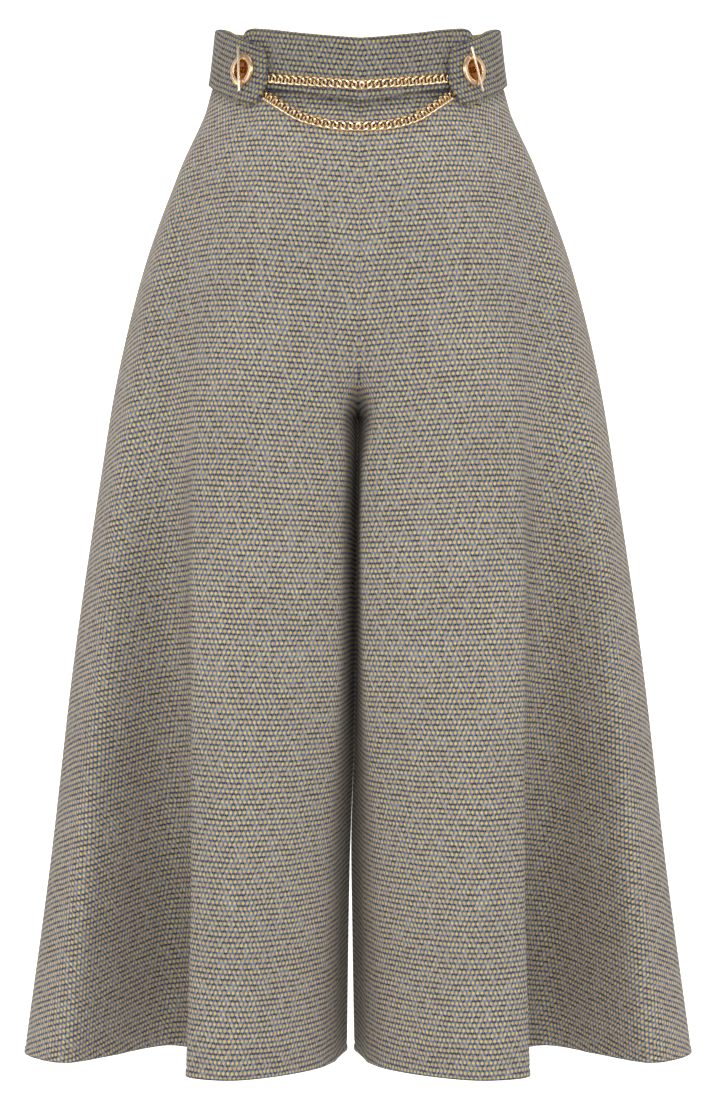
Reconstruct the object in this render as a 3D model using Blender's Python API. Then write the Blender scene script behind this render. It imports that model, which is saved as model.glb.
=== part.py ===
"""Wide-leg culottes in heavy tweed, hollow and filled out as worn, with two belt tabs, ring-and-bar
toggles and two hanging chains.

Metres, +Z up. The front faces -Y, and left and right are the wearer's, so left is +X. The origin is the
middle of the waist opening, halfway up the waistband. Tables are in millimetres.
"""

import functools
import math

import bpy
import numpy as np

MM = 0.001

# Driving sizes, in millimetres.
HEM_HEIGHT = -793.0
SEAM_GAP = 0.3
CLOTH = 2.0
BAND_CLOTH = 3.0
TAB_CLOTH = 3.0
BAND_HALF_SPREAD = 91.0
SHOULDER_RADIUS = 9.0
SHOULDER_FLATTENING = 0.6
RING_OUTER = 25.0
RING_INNER = 16.0
RING_DEPTH = 2.4
RING_DOME = 0.3
RING_LIFT = 0.5
BAR_LENGTH = 36.5
BAR_DIAMETER = 2.3
BAR_LEAN = math.radians(-11.2)
BAR_GAP = 0.4
POST_DIAMETER = 4.0
CHAIN_WIDTH = 8.4
CHAIN_DEPTH = 2.6
LINK_PITCH = 5.9
LINK_NECK = 0.72

# The leg is a ring of stations, from the inner front edge round the outside to the inner back edge. Each
# station is a crest or a trough of the cloth, and this is its place along the ring: 0 to 1 is the front
# panel, 1 to 2 the back panel.
STATIONS = {
    "inner_front": 0.00,
    "front_corner": 0.20,
    "front_flute": 0.42,
    "flute_edge": 0.54,
    "flute_neck": 0.65,
    "front_valley": 0.74,
    "side_flute": 0.88,
    "side_seam": 1.00,
    "rear_side_flute": 1.18,
    "rear_valley": 1.36,
    "rear_flute": 1.60,
    "rear_corner": 1.80,
    "inner_back": 2.00,
}
INNER_FRONT = 0.0
SIDE_SEAM = 1.0
INNER_BACK = 2.0

# How far out each station lies from the middle of the garment, level by level down the leg.
LEVELS = (30, -28, -90, -170, -265, -330, -480, -640, -793)
OUT = {
    "front_corner": (19, 20, 23, 24, 18, 8, 10, 18, 21),
    "front_flute": (46, 49, 66, 85, 92, 93, 95, 97, 98),
    "flute_edge": (63, 67, 90, 112, 123, 127, 129, 129, 133),
    "flute_neck": (81, 86.5, 109, 124, 133, 134, 131, 126, 124),
    "front_valley": (91, 97, 120, 138, 149, 151, 149, 150, 152),
    "side_flute": (106.5, 114, 137, 158, 174, 184, 199, 215, 230),
    "side_seam": (109, 116.4, 142, 171, 193.8, 204.5, 227, 246, 267),
    "rear_side_flute": (106.5, 114, 138, 163, 182, 191, 206, 215, 225),
    "rear_valley": (89, 95, 116, 136, 146, 148, 148, 148, 148),
    "rear_flute": (56, 60, 72, 88, 92, 92, 91, 88, 86),
    "rear_corner": (20, 22, 24, 26, 22, 12, 13, 18, 24),
}
# How far behind (or, below nought, in front of) the origin each station lies, at the same levels.
BEHIND = {
    "front_corner": (-83, -88.5, -98.5, -104, -100, -88, -90, -79, -75),
    "front_flute": (-76.5, -81.6, -93, -101, -108, -111, -118, -130, -140),
    "flute_edge": (-69, -73.7, -84, -89, -94, -95, -100, -110, -118),
    "flute_neck": (-56.5, -60.2, -74, -77, -80, -74, -54, -30, -12),
    "front_valley": (-46.5, -49.7, -60, -64, -66, -60, -34, 0, 29),
    "side_flute": (-17.5, -18.7, -38, -53, -59, -61, -57, -55, -57),
    "side_seam": (0, 0, 0, 0, 0, 0, 0, 0, -3),
    "rear_side_flute": (17.5, 18.5, 27, 36, 46, 57, 74, 88, 102),
    "rear_valley": (47.5, 50.7, 62, 70, 76, 76, 74, 73, 71),
    "rear_flute": (70.5, 75.4, 93, 107, 117, 125, 137, 149, 162),
    "rear_corner": (81, 86.3, 103, 115, 117, 108, 104, 100, 97),
}

# The rise: height of the centre seam against how far behind the origin it lies. Both ends reach the
# crotch point, and from there down the inner edge is the inseam.
CROTCH_HEIGHT = -286.0
FRONT_RISE = ((30, -84), (-28, -90), (-90, -99), (-170, -104), (-215, -103), (-240, -97), (-258, -85),
              (-270, -67), (-278, -44), (-283, -20), (-286, 5))
BACK_RISE = ((30, 82), (-28, 88), (-90, 104), (-170, 115), (-215, 116), (-240, 110), (-258, 96),
             (-270, 77), (-278, 53), (-283, 29), (-286, 5))
# The centre seam and the slit: height, half of the gap between the two legs, and how far to the left of
# the middle the seams stand, and the front edges beside the slit.
SLIT = ((30, 0.15, 2.0, 2.0), (-200, 0.15, 1.5, 1.5), (-286, 0.15, 0.0, -0.8), (-320, 0.15, -0.5, -3.2),
        (-380, 0.15, -1.0, -5.4), (-560, 0.15, -3.5, -5.6), (-610, 0.2, -5.4, -5.8), (-640, 0.5, -6.0, -5.8),
        (-680, 1.2, -6.1, -5.8), (-720, 1.8, -6.1, -5.7), (-793, 2.9, -5.9, -5.6))
FRONT_LEAN = {"front_corner": 1.0, "front_flute": 0.25}
BACK_LEAN = {"rear_corner": 1.0, "rear_flute": 0.25}

# Rows of the panels below the waist seam, closest together round the crotch.
ROW_HEIGHTS = (-60, -95, -135, -175, -210, -238, -256, -268, -277, -283, -286, -296, -315, -350, -400,
               -455, -515, -575, -635, -695, -750, HEM_HEIGHT)
SEAM_FADE = (-28.0, -150.0)
FRONT_COLUMNS = 27
BACK_COLUMNS = 23

# Waist seam and top edge of the band: place along the ring, height of each.
BAND_EDGES = ((0.0, -41.0, 9.0), (0.2, -38.5, 10.5), (0.42, -33.5, 13.6), (0.65, -29.0, 18.7),
              (0.7, -28.2, 19.5), (0.88, -25.5, 20.6), (1.0, -25.0, 20.4), (1.2, -24.6, 21.6),
              (1.5, -24.0, 22.6), (2.0, -23.0, 20.0))
BACK_BAND_DROP = 6.0
BAND_ROWS = 4
FRONT_BAND_COLUMNS = 12
BACK_BAND_COLUMNS = 25

# The tab, measured along the waist forward from the side seam: length along, top edge, bottom edge and
# how far its inner face stands off the band.
TAB_OUTLINE = ((-28, 20.9, -23.5, 0.5), (-10, 21.1, -23.0, 0.5), (10, 21.1, -23.2, 0.6),
               (27, 20.0, -28.3, 0.8), (43, 17.2, -34.0, 1.2), (53, 13.6, -37.6, 1.7),
               (62, 10.1, -40.6, 2.4), (70, 7.2, -43.0, 3.0), (76, 4.8, -44.2, 3.4),
               (80.5, 2.8, -44.2, 3.7), (83.5, 0.8, -43.0, 3.9), (86, -3.2, -36.5, 4.0),
               (88, -11.0, -31.2, 4.1), (89.1, -19.0, -27.0, 4.1))
WAIST_TAPE_HEIGHT = -8.0
TAB_ROWS = 6
TAB_STEP = 9.0
CLASP_ALONG = 66.0
CLASP_HEIGHT = -15.2
# How much further off the tab the ring's front edge stands than its middle, and the middle than its rear.
CLASP_TURN = (0.9, 0.9)

# Centre lines of the chains: how far out, how high and how far off the cloth, from the middle to the
# end behind the tab.
CHAIN_UPPER = ((0, -28.6, 0.4), (19.5, -27.0, 0.4), (35.5, -25.4, 0.4), (52, -23.8, 0.4),
               (69, -21.4, 0.4), (77, -20.4, 0.35))
CHAIN_LOWER = ((0, -60.6, 0.5), (13, -60.2, 0.5), (26, -58.6, 0.6), (36, -56.0, 0.9), (45.5, -52.2, 1.3),
               (55, -45.8, 1.6), (62.5, -40.2, 1.7), (70, -34.6, 0.8), (77, -29.5, 0.35))
CHAIN_ROWS_PER_LINK = 3
CHAIN_SAMPLES = 60

# Steps for reading directions off the leg's form, and how finely lengths along it are summed.
PLACE_STEP = 0.01
HEIGHT_STEP = 1.5
PLACES_PER_RING = 400

# Finish of each material: colour, metallic, roughness.
TWEED = ("tweed", (0.29, 0.28, 0.245), 0.0, 0.95)
BAND_TWEED = ("band tweed", (0.24, 0.23, 0.20), 0.0, 0.95)
TAB_TWEED = ("tab tweed", (0.26, 0.25, 0.215), 0.0, 0.95)
GOLD = ("gold plate", (0.83, 0.60, 0.30), 1.0, 0.25)
CHAIN_GOLD = ("chain gold", (0.86, 0.64, 0.33), 1.0, 0.22)


def clear_scene():
    """Remove every object that the scene starts with."""
    for item in list(bpy.data.objects):
        bpy.data.objects.remove(item, do_unlink=True)


def make_material(name, colour, metallic, roughness):
    """A plain Principled material."""
    material = bpy.data.materials.new(name)
    material.use_nodes = True
    shader = material.node_tree.nodes["Principled BSDF"]
    shader.inputs["Base Color"].default_value = (*colour, 1.0)
    shader.inputs["Metallic"].default_value = metallic
    shader.inputs["Roughness"].default_value = roughness
    return material


def tangents(at, values):
    """Slopes at each value of a smooth curve that never overshoots its values."""
    step = np.diff(at)[:, None]
    rate = np.diff(values, axis=0) / step
    before = rate[:-1]
    after = rate[1:]
    weight_before = 2 * step[1:] + step[:-1]
    weight_after = step[1:] + 2 * step[:-1]
    turning = before * after <= 0
    safe_before = np.where(turning, 1.0, before)
    safe_after = np.where(turning, 1.0, after)
    mean = (weight_before + weight_after) / (weight_before / safe_before + weight_after / safe_after)
    return np.vstack([rate[:1], np.where(turning, 0.0, mean), rate[-1:]])


def smooth(at, values, where):
    """Read a smooth curve through values[i] at at[i]. at may fall or rise; where is one number or many."""
    at = np.asarray(at, float)
    values = np.asarray(values, float)
    if at[0] > at[-1]:
        at = at[::-1]
        values = values[::-1]
    columns = values.reshape(len(at), -1)
    slope = tangents(at, columns)
    where = np.clip(np.atleast_1d(np.asarray(where, float)), at[0], at[-1])
    low = np.clip(np.searchsorted(at, where) - 1, 0, len(at) - 2)
    width = (at[low + 1] - at[low])[:, None]
    f = (where - at[low])[:, None] / width
    value = (columns[low] * (1 + 2 * f) * (1 - f) ** 2 + columns[low + 1] * f * f * (3 - 2 * f)
             + slope[low] * width * f * (1 - f) ** 2 - slope[low + 1] * width * f * f * (1 - f))
    return value.reshape(value.shape[:1] + values.shape[1:])


def read_table(table, column, where):
    """Read one column, or a slice of them, of a table whose first column says where each row lies."""
    return smooth([row[0] for row in table], [row[column] for row in table], where)


@functools.lru_cache(maxsize=None)
def leg_ring(side, height):
    """The stations of one leg at one height, as rows of across and behind. side is 1 for the left."""
    half_gap, seam_lean, edge_lean = read_table(SLIT, slice(1, None), height)[0]
    names = list(STATIONS)[1:-1]
    out = smooth(LEVELS, np.array([OUT[name] for name in names]).T, height)[0]
    behind = smooth(LEVELS, np.array([BEHIND[name] for name in names]).T, height)[0]
    lean = np.array([FRONT_LEAN.get(name, 0.0) * edge_lean + BACK_LEAN.get(name, 0.0) * seam_lean
                     for name in names])
    seam = side * half_gap + seam_lean
    first = (seam, read_table(FRONT_RISE, 1, height)[0])
    last = (seam, read_table(BACK_RISE, 1, height)[0])
    return np.vstack([first, np.stack([side * out + lean, behind], axis=1), last])


def leg_points(side, places, heights):
    """The outer face of the cloth at many places along the ring, each at its own height."""
    places = np.atleast_1d(np.asarray(places, float))
    heights = np.broadcast_to(heights, places.shape)
    points = np.zeros((len(places), 3))
    points[:, 2] = heights
    for height in np.unique(heights):
        here = heights == height
        points[here, :2] = smooth(list(STATIONS.values()), leg_ring(side, float(height)), places[here])
    return points


def leg_point(side, place, height):
    """The outer face of the cloth at one place along the ring and one height."""
    return leg_points(side, place, height)[0]


def leg_normal(side, place, height):
    """The direction out of the cloth at the same spot."""
    low = max(place - PLACE_STEP, INNER_FRONT)
    high = min(place + PLACE_STEP, INNER_BACK)
    along = leg_point(side, high, height) - leg_point(side, low, height)
    up = leg_point(side, place, height + HEIGHT_STEP) - leg_point(side, place, height - HEIGHT_STEP)
    normal = np.cross(along, up) * side
    return normal / np.linalg.norm(normal)


def seam_height(place):
    """Height of the waist seam at a place along the ring."""
    return read_table(BAND_EDGES, 1, place)[0]


def band_top(place):
    """Height of the waistband's top edge at a place along the ring."""
    return read_table(BAND_EDGES, 2, place)[0]


def row_height(row, place):
    """Height of a panel's row: the first follows the waist seam, and lower ones grow level."""
    if row == 0:
        return seam_height(place) - SEAM_GAP / 2
    level = ROW_HEIGHTS[row - 1]
    start, end = SEAM_FADE
    share = min(max((level - end) / (start - end), 0.0), 1.0)
    return level + share * (seam_height(place) - start)


def close_wall(outer, inner):
    """Points and faces of a closed wall between two grids of points with the same rows and columns."""
    rows, columns = outer.shape[:2]
    points = np.concatenate([outer.reshape(-1, 3), inner.reshape(-1, 3)])
    half = rows * columns

    def at(row, column, layer):
        return layer * half + row * columns + column

    faces = []
    for row in range(rows - 1):
        for column in range(columns - 1):
            corners = ((row, column), (row, column + 1), (row + 1, column + 1), (row + 1, column))
            faces.append([at(r, c, 0) for r, c in corners])
            faces.append([at(r, c, 1) for r, c in reversed(corners)])
    border = [(0, c) for c in range(columns)]
    border += [(r, columns - 1) for r in range(1, rows)]
    border += [(rows - 1, c) for c in range(columns - 2, -1, -1)]
    border += [(r, 0) for r in range(rows - 2, 0, -1)]
    for start, end in zip(border, border[1:] + border[:1]):
        faces.append([at(*end, 0), at(*start, 0), at(*start, 1), at(*end, 1)])
    return points, faces


def add_object(name, points, faces, finish, smooth_angle=math.radians(40)):
    """Make a named object from points in millimetres, with its faces turned outward."""
    mesh = bpy.data.meshes.new(name)
    mesh.from_pydata([tuple(p * MM) for p in np.asarray(points, float)], [], faces)
    mesh.validate()
    if signed_volume(mesh) < 0:
        mesh.flip_normals()
    mesh.shade_smooth()
    mesh.set_sharp_from_angle(angle=smooth_angle)
    item = bpy.data.objects.new(name, mesh)
    item.data.materials.append(make_material(f"{name} {finish[0]}", *finish[1:]))
    bpy.context.scene.collection.objects.link(item)
    return item


def signed_volume(mesh):
    """Volume of a closed mesh, below nought where its faces point inward."""
    total = 0.0
    for face in mesh.polygons:
        corners = [mesh.vertices[i].co for i in face.vertices]
        for second, third in zip(corners[1:], corners[2:]):
            total += corners[0].dot(second.cross(third))
    return total / 6


def grid_normals(grid, side):
    """Direction out of the cloth at each point of a leg's whole grid, joined at its seams."""
    across = grid[:, 1:] - grid[:, :-1]
    down = grid[1:] - grid[:-1]
    faces = np.cross(across[:-1], down[:, :-1]) + np.cross(across[1:], down[:, 1:])
    normals = np.zeros_like(grid)
    for row in (0, 1):
        for column in (0, 1):
            rows = slice(row, row + faces.shape[0])
            columns = slice(column, column + faces.shape[1])
            normals[rows, columns] += faces
    joined = grid[:, 0, 2] <= CROTCH_HEIGHT
    shared = normals[joined, 0] + normals[joined, -1]
    normals[joined, 0] = shared
    normals[joined, -1] = shared
    normals *= -side
    return normals / np.linalg.norm(normals, axis=2)[:, :, None]


def leg_grids(side):
    """Outer and inner points of a whole leg, row by row down from the waist seam."""
    front = np.linspace(INNER_FRONT, SIDE_SEAM, FRONT_COLUMNS)
    back = np.linspace(SIDE_SEAM, INNER_BACK, BACK_COLUMNS)
    places = np.concatenate([front, back[1:]])
    rows = range(len(ROW_HEIGHTS) + 1)
    outer = np.array([leg_points(side, places, [row_height(row, p) for p in places]) for row in rows])
    inner = outer - grid_normals(outer, side) * CLOTH
    centre = read_table(SLIT, 2, outer[:, 0, 2])[:, None]
    reach = np.maximum(side * (inner[:, :, 0] - centre), SEAM_GAP / 2)
    inner[:, :, 0] = centre + side * reach
    return outer, inner


def draw_back(grid, column, neighbour):
    """Draw one edge of a panel back from its seam by half of the seam's gap."""
    toward = grid[:, neighbour] - grid[:, column]
    grid[:, column] += toward / np.linalg.norm(toward, axis=1)[:, None] * SEAM_GAP / 2


def make_panels(word, side):
    """The front and the back of one leg."""
    layers = leg_grids(side)
    seam = FRONT_COLUMNS - 1
    for name, columns in (("front", slice(None, seam + 1)), ("back", slice(seam, None))):
        outer, inner = (layer[:, columns].copy() for layer in layers)
        for grid in (outer, inner):
            draw_back(grid, 0, 1)
            draw_back(grid, -1, -2)
        points, faces = close_wall(outer, inner)
        add_object(f"{name}_{word}", points, faces, TWEED)


def make_band(name, spots, tops, bottoms):
    """A waistband wall over a list of (side, place) spots, with a top and bottom height for each."""
    outer = np.zeros((BAND_ROWS, len(spots), 3))
    inner = np.zeros_like(outer)
    for column, (side, place) in enumerate(spots):
        for row, height in enumerate(np.linspace(tops[column], bottoms[column], BAND_ROWS)):
            point = leg_point(side, place, height)
            normal = leg_normal(side, place, height)
            if place in (INNER_FRONT, INNER_BACK):
                other = leg_point(-side, place, height)
                point = (point + other) / 2
                normal = normal + leg_normal(-side, place, height)
                normal = normal / np.linalg.norm(normal)
            outer[row, column] = point
            inner[row, column] = point - normal * BAND_CLOTH
    points, faces = close_wall(outer, inner)
    return add_object(name, points, faces, BAND_TWEED)


@functools.lru_cache(maxsize=None)
def front_band_end():
    """Place along the ring where the front band ends."""
    places = np.linspace(INNER_FRONT, SIDE_SEAM, PLACES_PER_RING)
    out = leg_points(1, places, 0.0)[:, 0]
    return float(np.interp(BAND_HALF_SPREAD, out, places))


def make_front_band():
    """The front band, with a rounded shoulder at each end."""
    last = front_band_end()
    half = np.linspace(INNER_FRONT, last, FRONT_BAND_COLUMNS)
    spots = [(-1, place) for place in half[:0:-1]] + [(1, place) for place in half]
    tops = []
    bottoms = []
    for side, place in spots:
        spare = BAND_HALF_SPREAD - abs(leg_point(side, place, 0.0)[0])
        short = max(SHOULDER_RADIUS - max(spare, 0.0), 0.0)
        drop = SHOULDER_RADIUS - math.sqrt(max(SHOULDER_RADIUS ** 2 - short ** 2, 0.0))
        tops.append(band_top(place) - SHOULDER_FLATTENING * drop)
        bottoms.append(seam_height(place) + SEAM_GAP / 2)
    return make_band("waistband_front", spots, tops, bottoms)


def make_back_band():
    """The back band, a little lower where it runs under the tabs."""
    first = front_band_end()
    step = leg_point(1, first + PLACE_STEP, 0.0) - leg_point(1, first, 0.0)
    first += SEAM_GAP / np.linalg.norm(step) * PLACE_STEP
    half = np.linspace(first, INNER_BACK, BACK_BAND_COLUMNS)
    spots = [(1, place) for place in half] + [(-1, place) for place in half[-2::-1]]
    tops = []
    bottoms = []
    for side, place in spots:
        share = min(max((SIDE_SEAM - place) / (SIDE_SEAM - first), 0.0), 1.0)
        tops.append(band_top(place) - BACK_BAND_DROP * share)
        bottoms.append(seam_height(place) + SEAM_GAP / 2)
    return make_band("waistband_back", spots, tops, bottoms)


@functools.lru_cache(maxsize=None)
def waist_lengths():
    """Places along the ring, and the length along the waist from the side seam forward to each."""
    places = np.linspace(0.3, 1.5, PLACES_PER_RING)
    points = leg_points(1, places, WAIST_TAPE_HEIGHT)
    steps = np.linalg.norm(np.diff(points, axis=0), axis=1)
    run = np.concatenate([[0.0], np.cumsum(steps)])
    from_seam = np.interp(SIDE_SEAM, places, run) - run
    return places[::-1], from_seam[::-1]


def tab_point(side, along, height, off):
    """A point over the waistband at a length forward of the side seam, off its outer face."""
    places, lengths = waist_lengths()
    place = float(np.interp(along, lengths, places))
    point = leg_point(side, place, height)
    return point + leg_normal(side, place, height) * off


def tab_columns():
    """Rows of the tab's outline, with more between those that lie far apart."""
    lengths = [TAB_OUTLINE[0][0]]
    for row in TAB_OUTLINE[1:]:
        steps = math.ceil((row[0] - lengths[-1]) / TAB_STEP)
        lengths += list(np.linspace(lengths[-1], row[0], steps + 1)[1:])
    return [(along, *read_table(TAB_OUTLINE, slice(1, None), along)[0]) for along in lengths]


def make_tab(name, side):
    """A belt tab: sewn on behind the side seam, its cut-off front end standing proud."""
    columns = tab_columns()
    outer = np.zeros((TAB_ROWS, len(columns), 3))
    inner = np.zeros_like(outer)
    for column, (along, top, bottom, off) in enumerate(columns):
        for row, height in enumerate(np.linspace(top, bottom, TAB_ROWS)):
            inner[row, column] = tab_point(side, along, height, off)
            outer[row, column] = tab_point(side, along, height, off + TAB_CLOTH)
    points, faces = close_wall(outer, inner)
    return add_object(name, points, faces, TAB_TWEED)


def clasp_frame(side):
    """Centre of the ring's back on the tab, and the directions along, up and out there."""
    off = float(read_table(TAB_OUTLINE, 3, CLASP_ALONG)[0]) + TAB_CLOTH
    centre = tab_point(side, CLASP_ALONG, CLASP_HEIGHT, off)
    reach = RING_OUTER / 2
    ahead = tab_point(side, CLASP_ALONG + reach, CLASP_HEIGHT, off + CLASP_TURN[0])
    behind = tab_point(side, CLASP_ALONG - reach, CLASP_HEIGHT, off - CLASP_TURN[1])
    above = tab_point(side, CLASP_ALONG, CLASP_HEIGHT + reach, off)
    below = tab_point(side, CLASP_ALONG, CLASP_HEIGHT - reach, off)
    up = above - below
    up = up / np.linalg.norm(up)
    out = np.cross(ahead - behind, up)
    out = out / np.linalg.norm(out)
    if out[1] > 0:
        out = -out
    along = np.cross(up, out)
    return centre, along, up, out


def turned(profile, steps, frame):
    """Points and faces of a closed profile of (radius, out) turned round the out axis of a frame."""
    centre, along, up, out = frame
    points = []
    for step in range(steps):
        angle = 2 * math.pi * step / steps
        spoke = along * math.cos(angle) + up * math.sin(angle)
        points += [centre + spoke * radius + out * height for radius, height in profile]
    count = len(profile)
    faces = []
    for step in range(steps):
        here = step * count
        there = (step + 1) % steps * count
        for corner in range(count):
            after = (corner + 1) % count
            faces.append([here + corner, here + after, there + after, there + corner])
    return points, faces


def make_ring(name, side):
    """The ring on a tab, with a raised inner rim."""
    outer = RING_OUTER / 2
    inner = RING_INNER / 2
    profile = ((inner, RING_LIFT), (inner, RING_DEPTH), (inner + 0.9, RING_DEPTH + RING_DOME),
               (inner + 1.8, RING_DEPTH), (outer - 0.8, RING_DEPTH - 0.5), (outer, RING_DEPTH - 1.2),
               (outer, RING_LIFT))
    points, faces = turned(profile, 28, clasp_frame(side))
    return add_object(name, points, faces, GOLD)


def capped_rod(start, end, radii, sides=10):
    """Points and faces of a rod from start to end, with (share along, radius) rows from end to end."""
    axis = end - start
    length = np.linalg.norm(axis)
    axis = axis / length
    seed = np.array((1.0, 0.0, 0.0)) if abs(axis[2]) > 0.7 else np.array((0.0, 0.0, 1.0))
    across = np.cross(axis, seed)
    across = across / np.linalg.norm(across)
    other = np.cross(axis, across)
    points = []
    for share, radius in radii:
        for step in range(sides):
            angle = 2 * math.pi * step / sides
            spoke = across * math.cos(angle) + other * math.sin(angle)
            points.append(start + axis * length * share + spoke * radius)
    faces = [list(range(sides)), list(range((len(radii) - 1) * sides, len(radii) * sides))[::-1]]
    for row in range(len(radii) - 1):
        for step in range(sides):
            after = (step + 1) % sides
            low = row * sides
            high = low + sides
            faces.append([low + step, high + step, high + after, low + after])
    return points, faces


def bar_height():
    """How far the bar's middle stands off the tab."""
    return RING_DEPTH + RING_DOME + BAR_GAP + BAR_DIAMETER / 2


def make_toggle(name, side):
    """The upright bar in front of a ring, domed at its ends."""
    centre, along, up, out = clasp_frame(side)
    axis = up * math.cos(BAR_LEAN) + along * math.sin(BAR_LEAN)
    middle = centre + out * bar_height()
    radius = BAR_DIAMETER / 2
    radii = ((0.0, 0.35 * radius), (0.012, 0.8 * radius), (0.035, radius), (0.965, radius),
             (0.988, 0.8 * radius), (1.0, 0.35 * radius))
    half = axis * BAR_LENGTH / 2
    points, faces = capped_rod(middle - half, middle + half, radii)
    return add_object(name, points, faces, GOLD)


def make_post(name, side):
    """The stud through a ring, from the tab to the bar."""
    centre, along, up, out = clasp_frame(side)
    radius = POST_DIAMETER / 2
    top = bar_height() - BAR_DIAMETER / 2 - SEAM_GAP
    radii = ((0.0, 1.5 * radius), (0.25, 1.5 * radius), (0.45, radius), (1.0, 0.8 * radius))
    points, faces = capped_rod(centre + out * SEAM_GAP, centre + out * top, radii, sides=12)
    return add_object(name, points, faces, GOLD)


def place_at(out, height):
    """Place along the ring where the outer face lies that far out, at a height."""
    places = np.linspace(INNER_FRONT, STATIONS["side_flute"], PLACES_PER_RING)
    spread = leg_points(1, places, height)[:, 0]
    return float(np.interp(out, spread - spread[0], places))


def chain_spine(table):
    """Points along a chain's centre line, one for each row of a link, and the way out of the cloth."""
    rows = np.array(table, float)
    run = np.concatenate([[0.0], np.cumsum(np.hypot(np.diff(rows[:, 0]), np.diff(rows[:, 1])))])
    line = smooth(run, rows, np.linspace(0.0, run[-1], CHAIN_SAMPLES))
    spots = [(-1, row) for row in line[:0:-1]] + [(1, row) for row in line]
    points = []
    normals = []
    for side, (across, level, clearance) in spots:
        place = place_at(across, level)
        normal = leg_normal(side, place, level)
        points.append(leg_point(side, place, level) + normal * (clearance + CHAIN_DEPTH / 2))
        normals.append(normal)
    return even_steps(np.array(points), np.array(normals))


def even_steps(points, normals):
    """Read a line again at even steps, a whole number of rows for each link."""
    run = np.concatenate([[0.0], np.cumsum(np.linalg.norm(np.diff(points, axis=0), axis=1))])
    links = round(run[-1] / LINK_PITCH)
    where = np.linspace(0.0, run[-1], links * CHAIN_ROWS_PER_LINK + 1)
    line = np.stack([np.interp(where, run, points[:, axis]) for axis in range(3)], axis=1)
    facing = np.stack([np.interp(where, run, normals[:, axis]) for axis in range(3)], axis=1)
    return line, facing / np.linalg.norm(facing, axis=1)[:, None]


def make_chain(name, table):
    """A chain as one flat solid along its line, with a swelling for every link."""
    line, facing = chain_spine(table)
    along = np.gradient(line, axis=0)
    along = along / np.linalg.norm(along, axis=1)[:, None]
    across = np.cross(facing, along)
    outline = ((1.0, 0.0), (0.5, 1.0), (-0.5, 1.0), (-1.0, 0.0), (-0.5, -1.0), (0.5, -1.0))
    points = []
    for row in range(len(line)):
        swell = 1.0 if row % CHAIN_ROWS_PER_LINK else LINK_NECK
        for wide, deep in outline:
            offset = across[row] * wide * CHAIN_WIDTH / 2 * swell + facing[row] * deep * CHAIN_DEPTH / 2
            points.append(line[row] + offset)
    sides = len(outline)
    faces = [list(range(sides)), list(range((len(line) - 1) * sides, len(line) * sides))[::-1]]
    for row in range(len(line) - 1):
        for side in range(sides):
            after = (side + 1) % sides
            low = row * sides
            high = low + sides
            faces.append([low + side, high + side, high + after, low + after])
    return add_object(name, points, faces, CHAIN_GOLD)


def build():
    """Make the whole garment."""
    clear_scene()
    for word, side in (("left", 1), ("right", -1)):
        make_panels(word, side)
        make_tab(f"tab_{word}", side)
        make_ring(f"ring_{word}", side)
        make_toggle(f"toggle_{word}", side)
        make_post(f"post_{word}", side)
    make_front_band()
    make_back_band()
    make_chain("chain_upper", CHAIN_UPPER)
    make_chain("chain_lower", CHAIN_LOWER)


build()
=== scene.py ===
"""Looks of the wide-leg culottes: woven tweed shells, rounded edges, gold clasps and curb chains.

Metres, +Z up, the front faces -Y, and left and right are the wearer's. Sizes in the tables are in
millimetres, and MM turns them into metres.
"""

import functools
import logging
import math
from dataclasses import dataclass, field
from enum import Enum
from typing import Optional, Sequence, Union

import bpy
import numpy as np
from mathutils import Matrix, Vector


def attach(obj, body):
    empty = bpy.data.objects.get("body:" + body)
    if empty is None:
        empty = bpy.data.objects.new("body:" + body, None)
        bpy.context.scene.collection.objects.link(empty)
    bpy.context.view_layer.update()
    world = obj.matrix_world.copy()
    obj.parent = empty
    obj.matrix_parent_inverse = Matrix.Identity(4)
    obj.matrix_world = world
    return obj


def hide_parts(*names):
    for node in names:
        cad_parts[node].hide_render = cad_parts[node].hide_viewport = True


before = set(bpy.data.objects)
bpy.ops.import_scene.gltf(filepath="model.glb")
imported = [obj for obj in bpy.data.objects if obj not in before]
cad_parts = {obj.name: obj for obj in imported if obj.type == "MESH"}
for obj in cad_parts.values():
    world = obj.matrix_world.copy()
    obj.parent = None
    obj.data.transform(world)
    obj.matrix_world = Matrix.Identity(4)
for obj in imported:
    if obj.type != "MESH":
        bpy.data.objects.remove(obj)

Numbers = Union[float, Sequence[float], np.ndarray]
Value = Union[float, Sequence[float], bpy.types.NodeSocket]

MM = 0.001
LOG = logging.getLogger("culottes")
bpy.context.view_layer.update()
BODY = "root"
CUT_MAP = "Cut"
WHITE = (1.0, 1.0, 1.0, 1.0)


class Side(Enum):
    """A side of the wearer, with the sign of its X."""

    LEFT = 1
    RIGHT = -1

    @property
    def word(self) -> str:
        """The side's name in lower case."""
        return self.name.lower()


class Half(Enum):
    """The front or the back half of the garment."""

    FRONT = "front"
    BACK = "back"


class Held(Enum):
    """How a piece of cloth is held."""

    HUNG = "hung"
    STRETCHED = "stretched"


class Edge(Enum):
    """An edge of a grid of points, rows running down and columns running across."""

    TOP = "top"
    LAST = "last"
    BOTTOM = "bottom"
    FIRST = "first"


# ---------------------------------------------------------------------------------------------------
# Curves through tables
# ---------------------------------------------------------------------------------------------------


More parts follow.
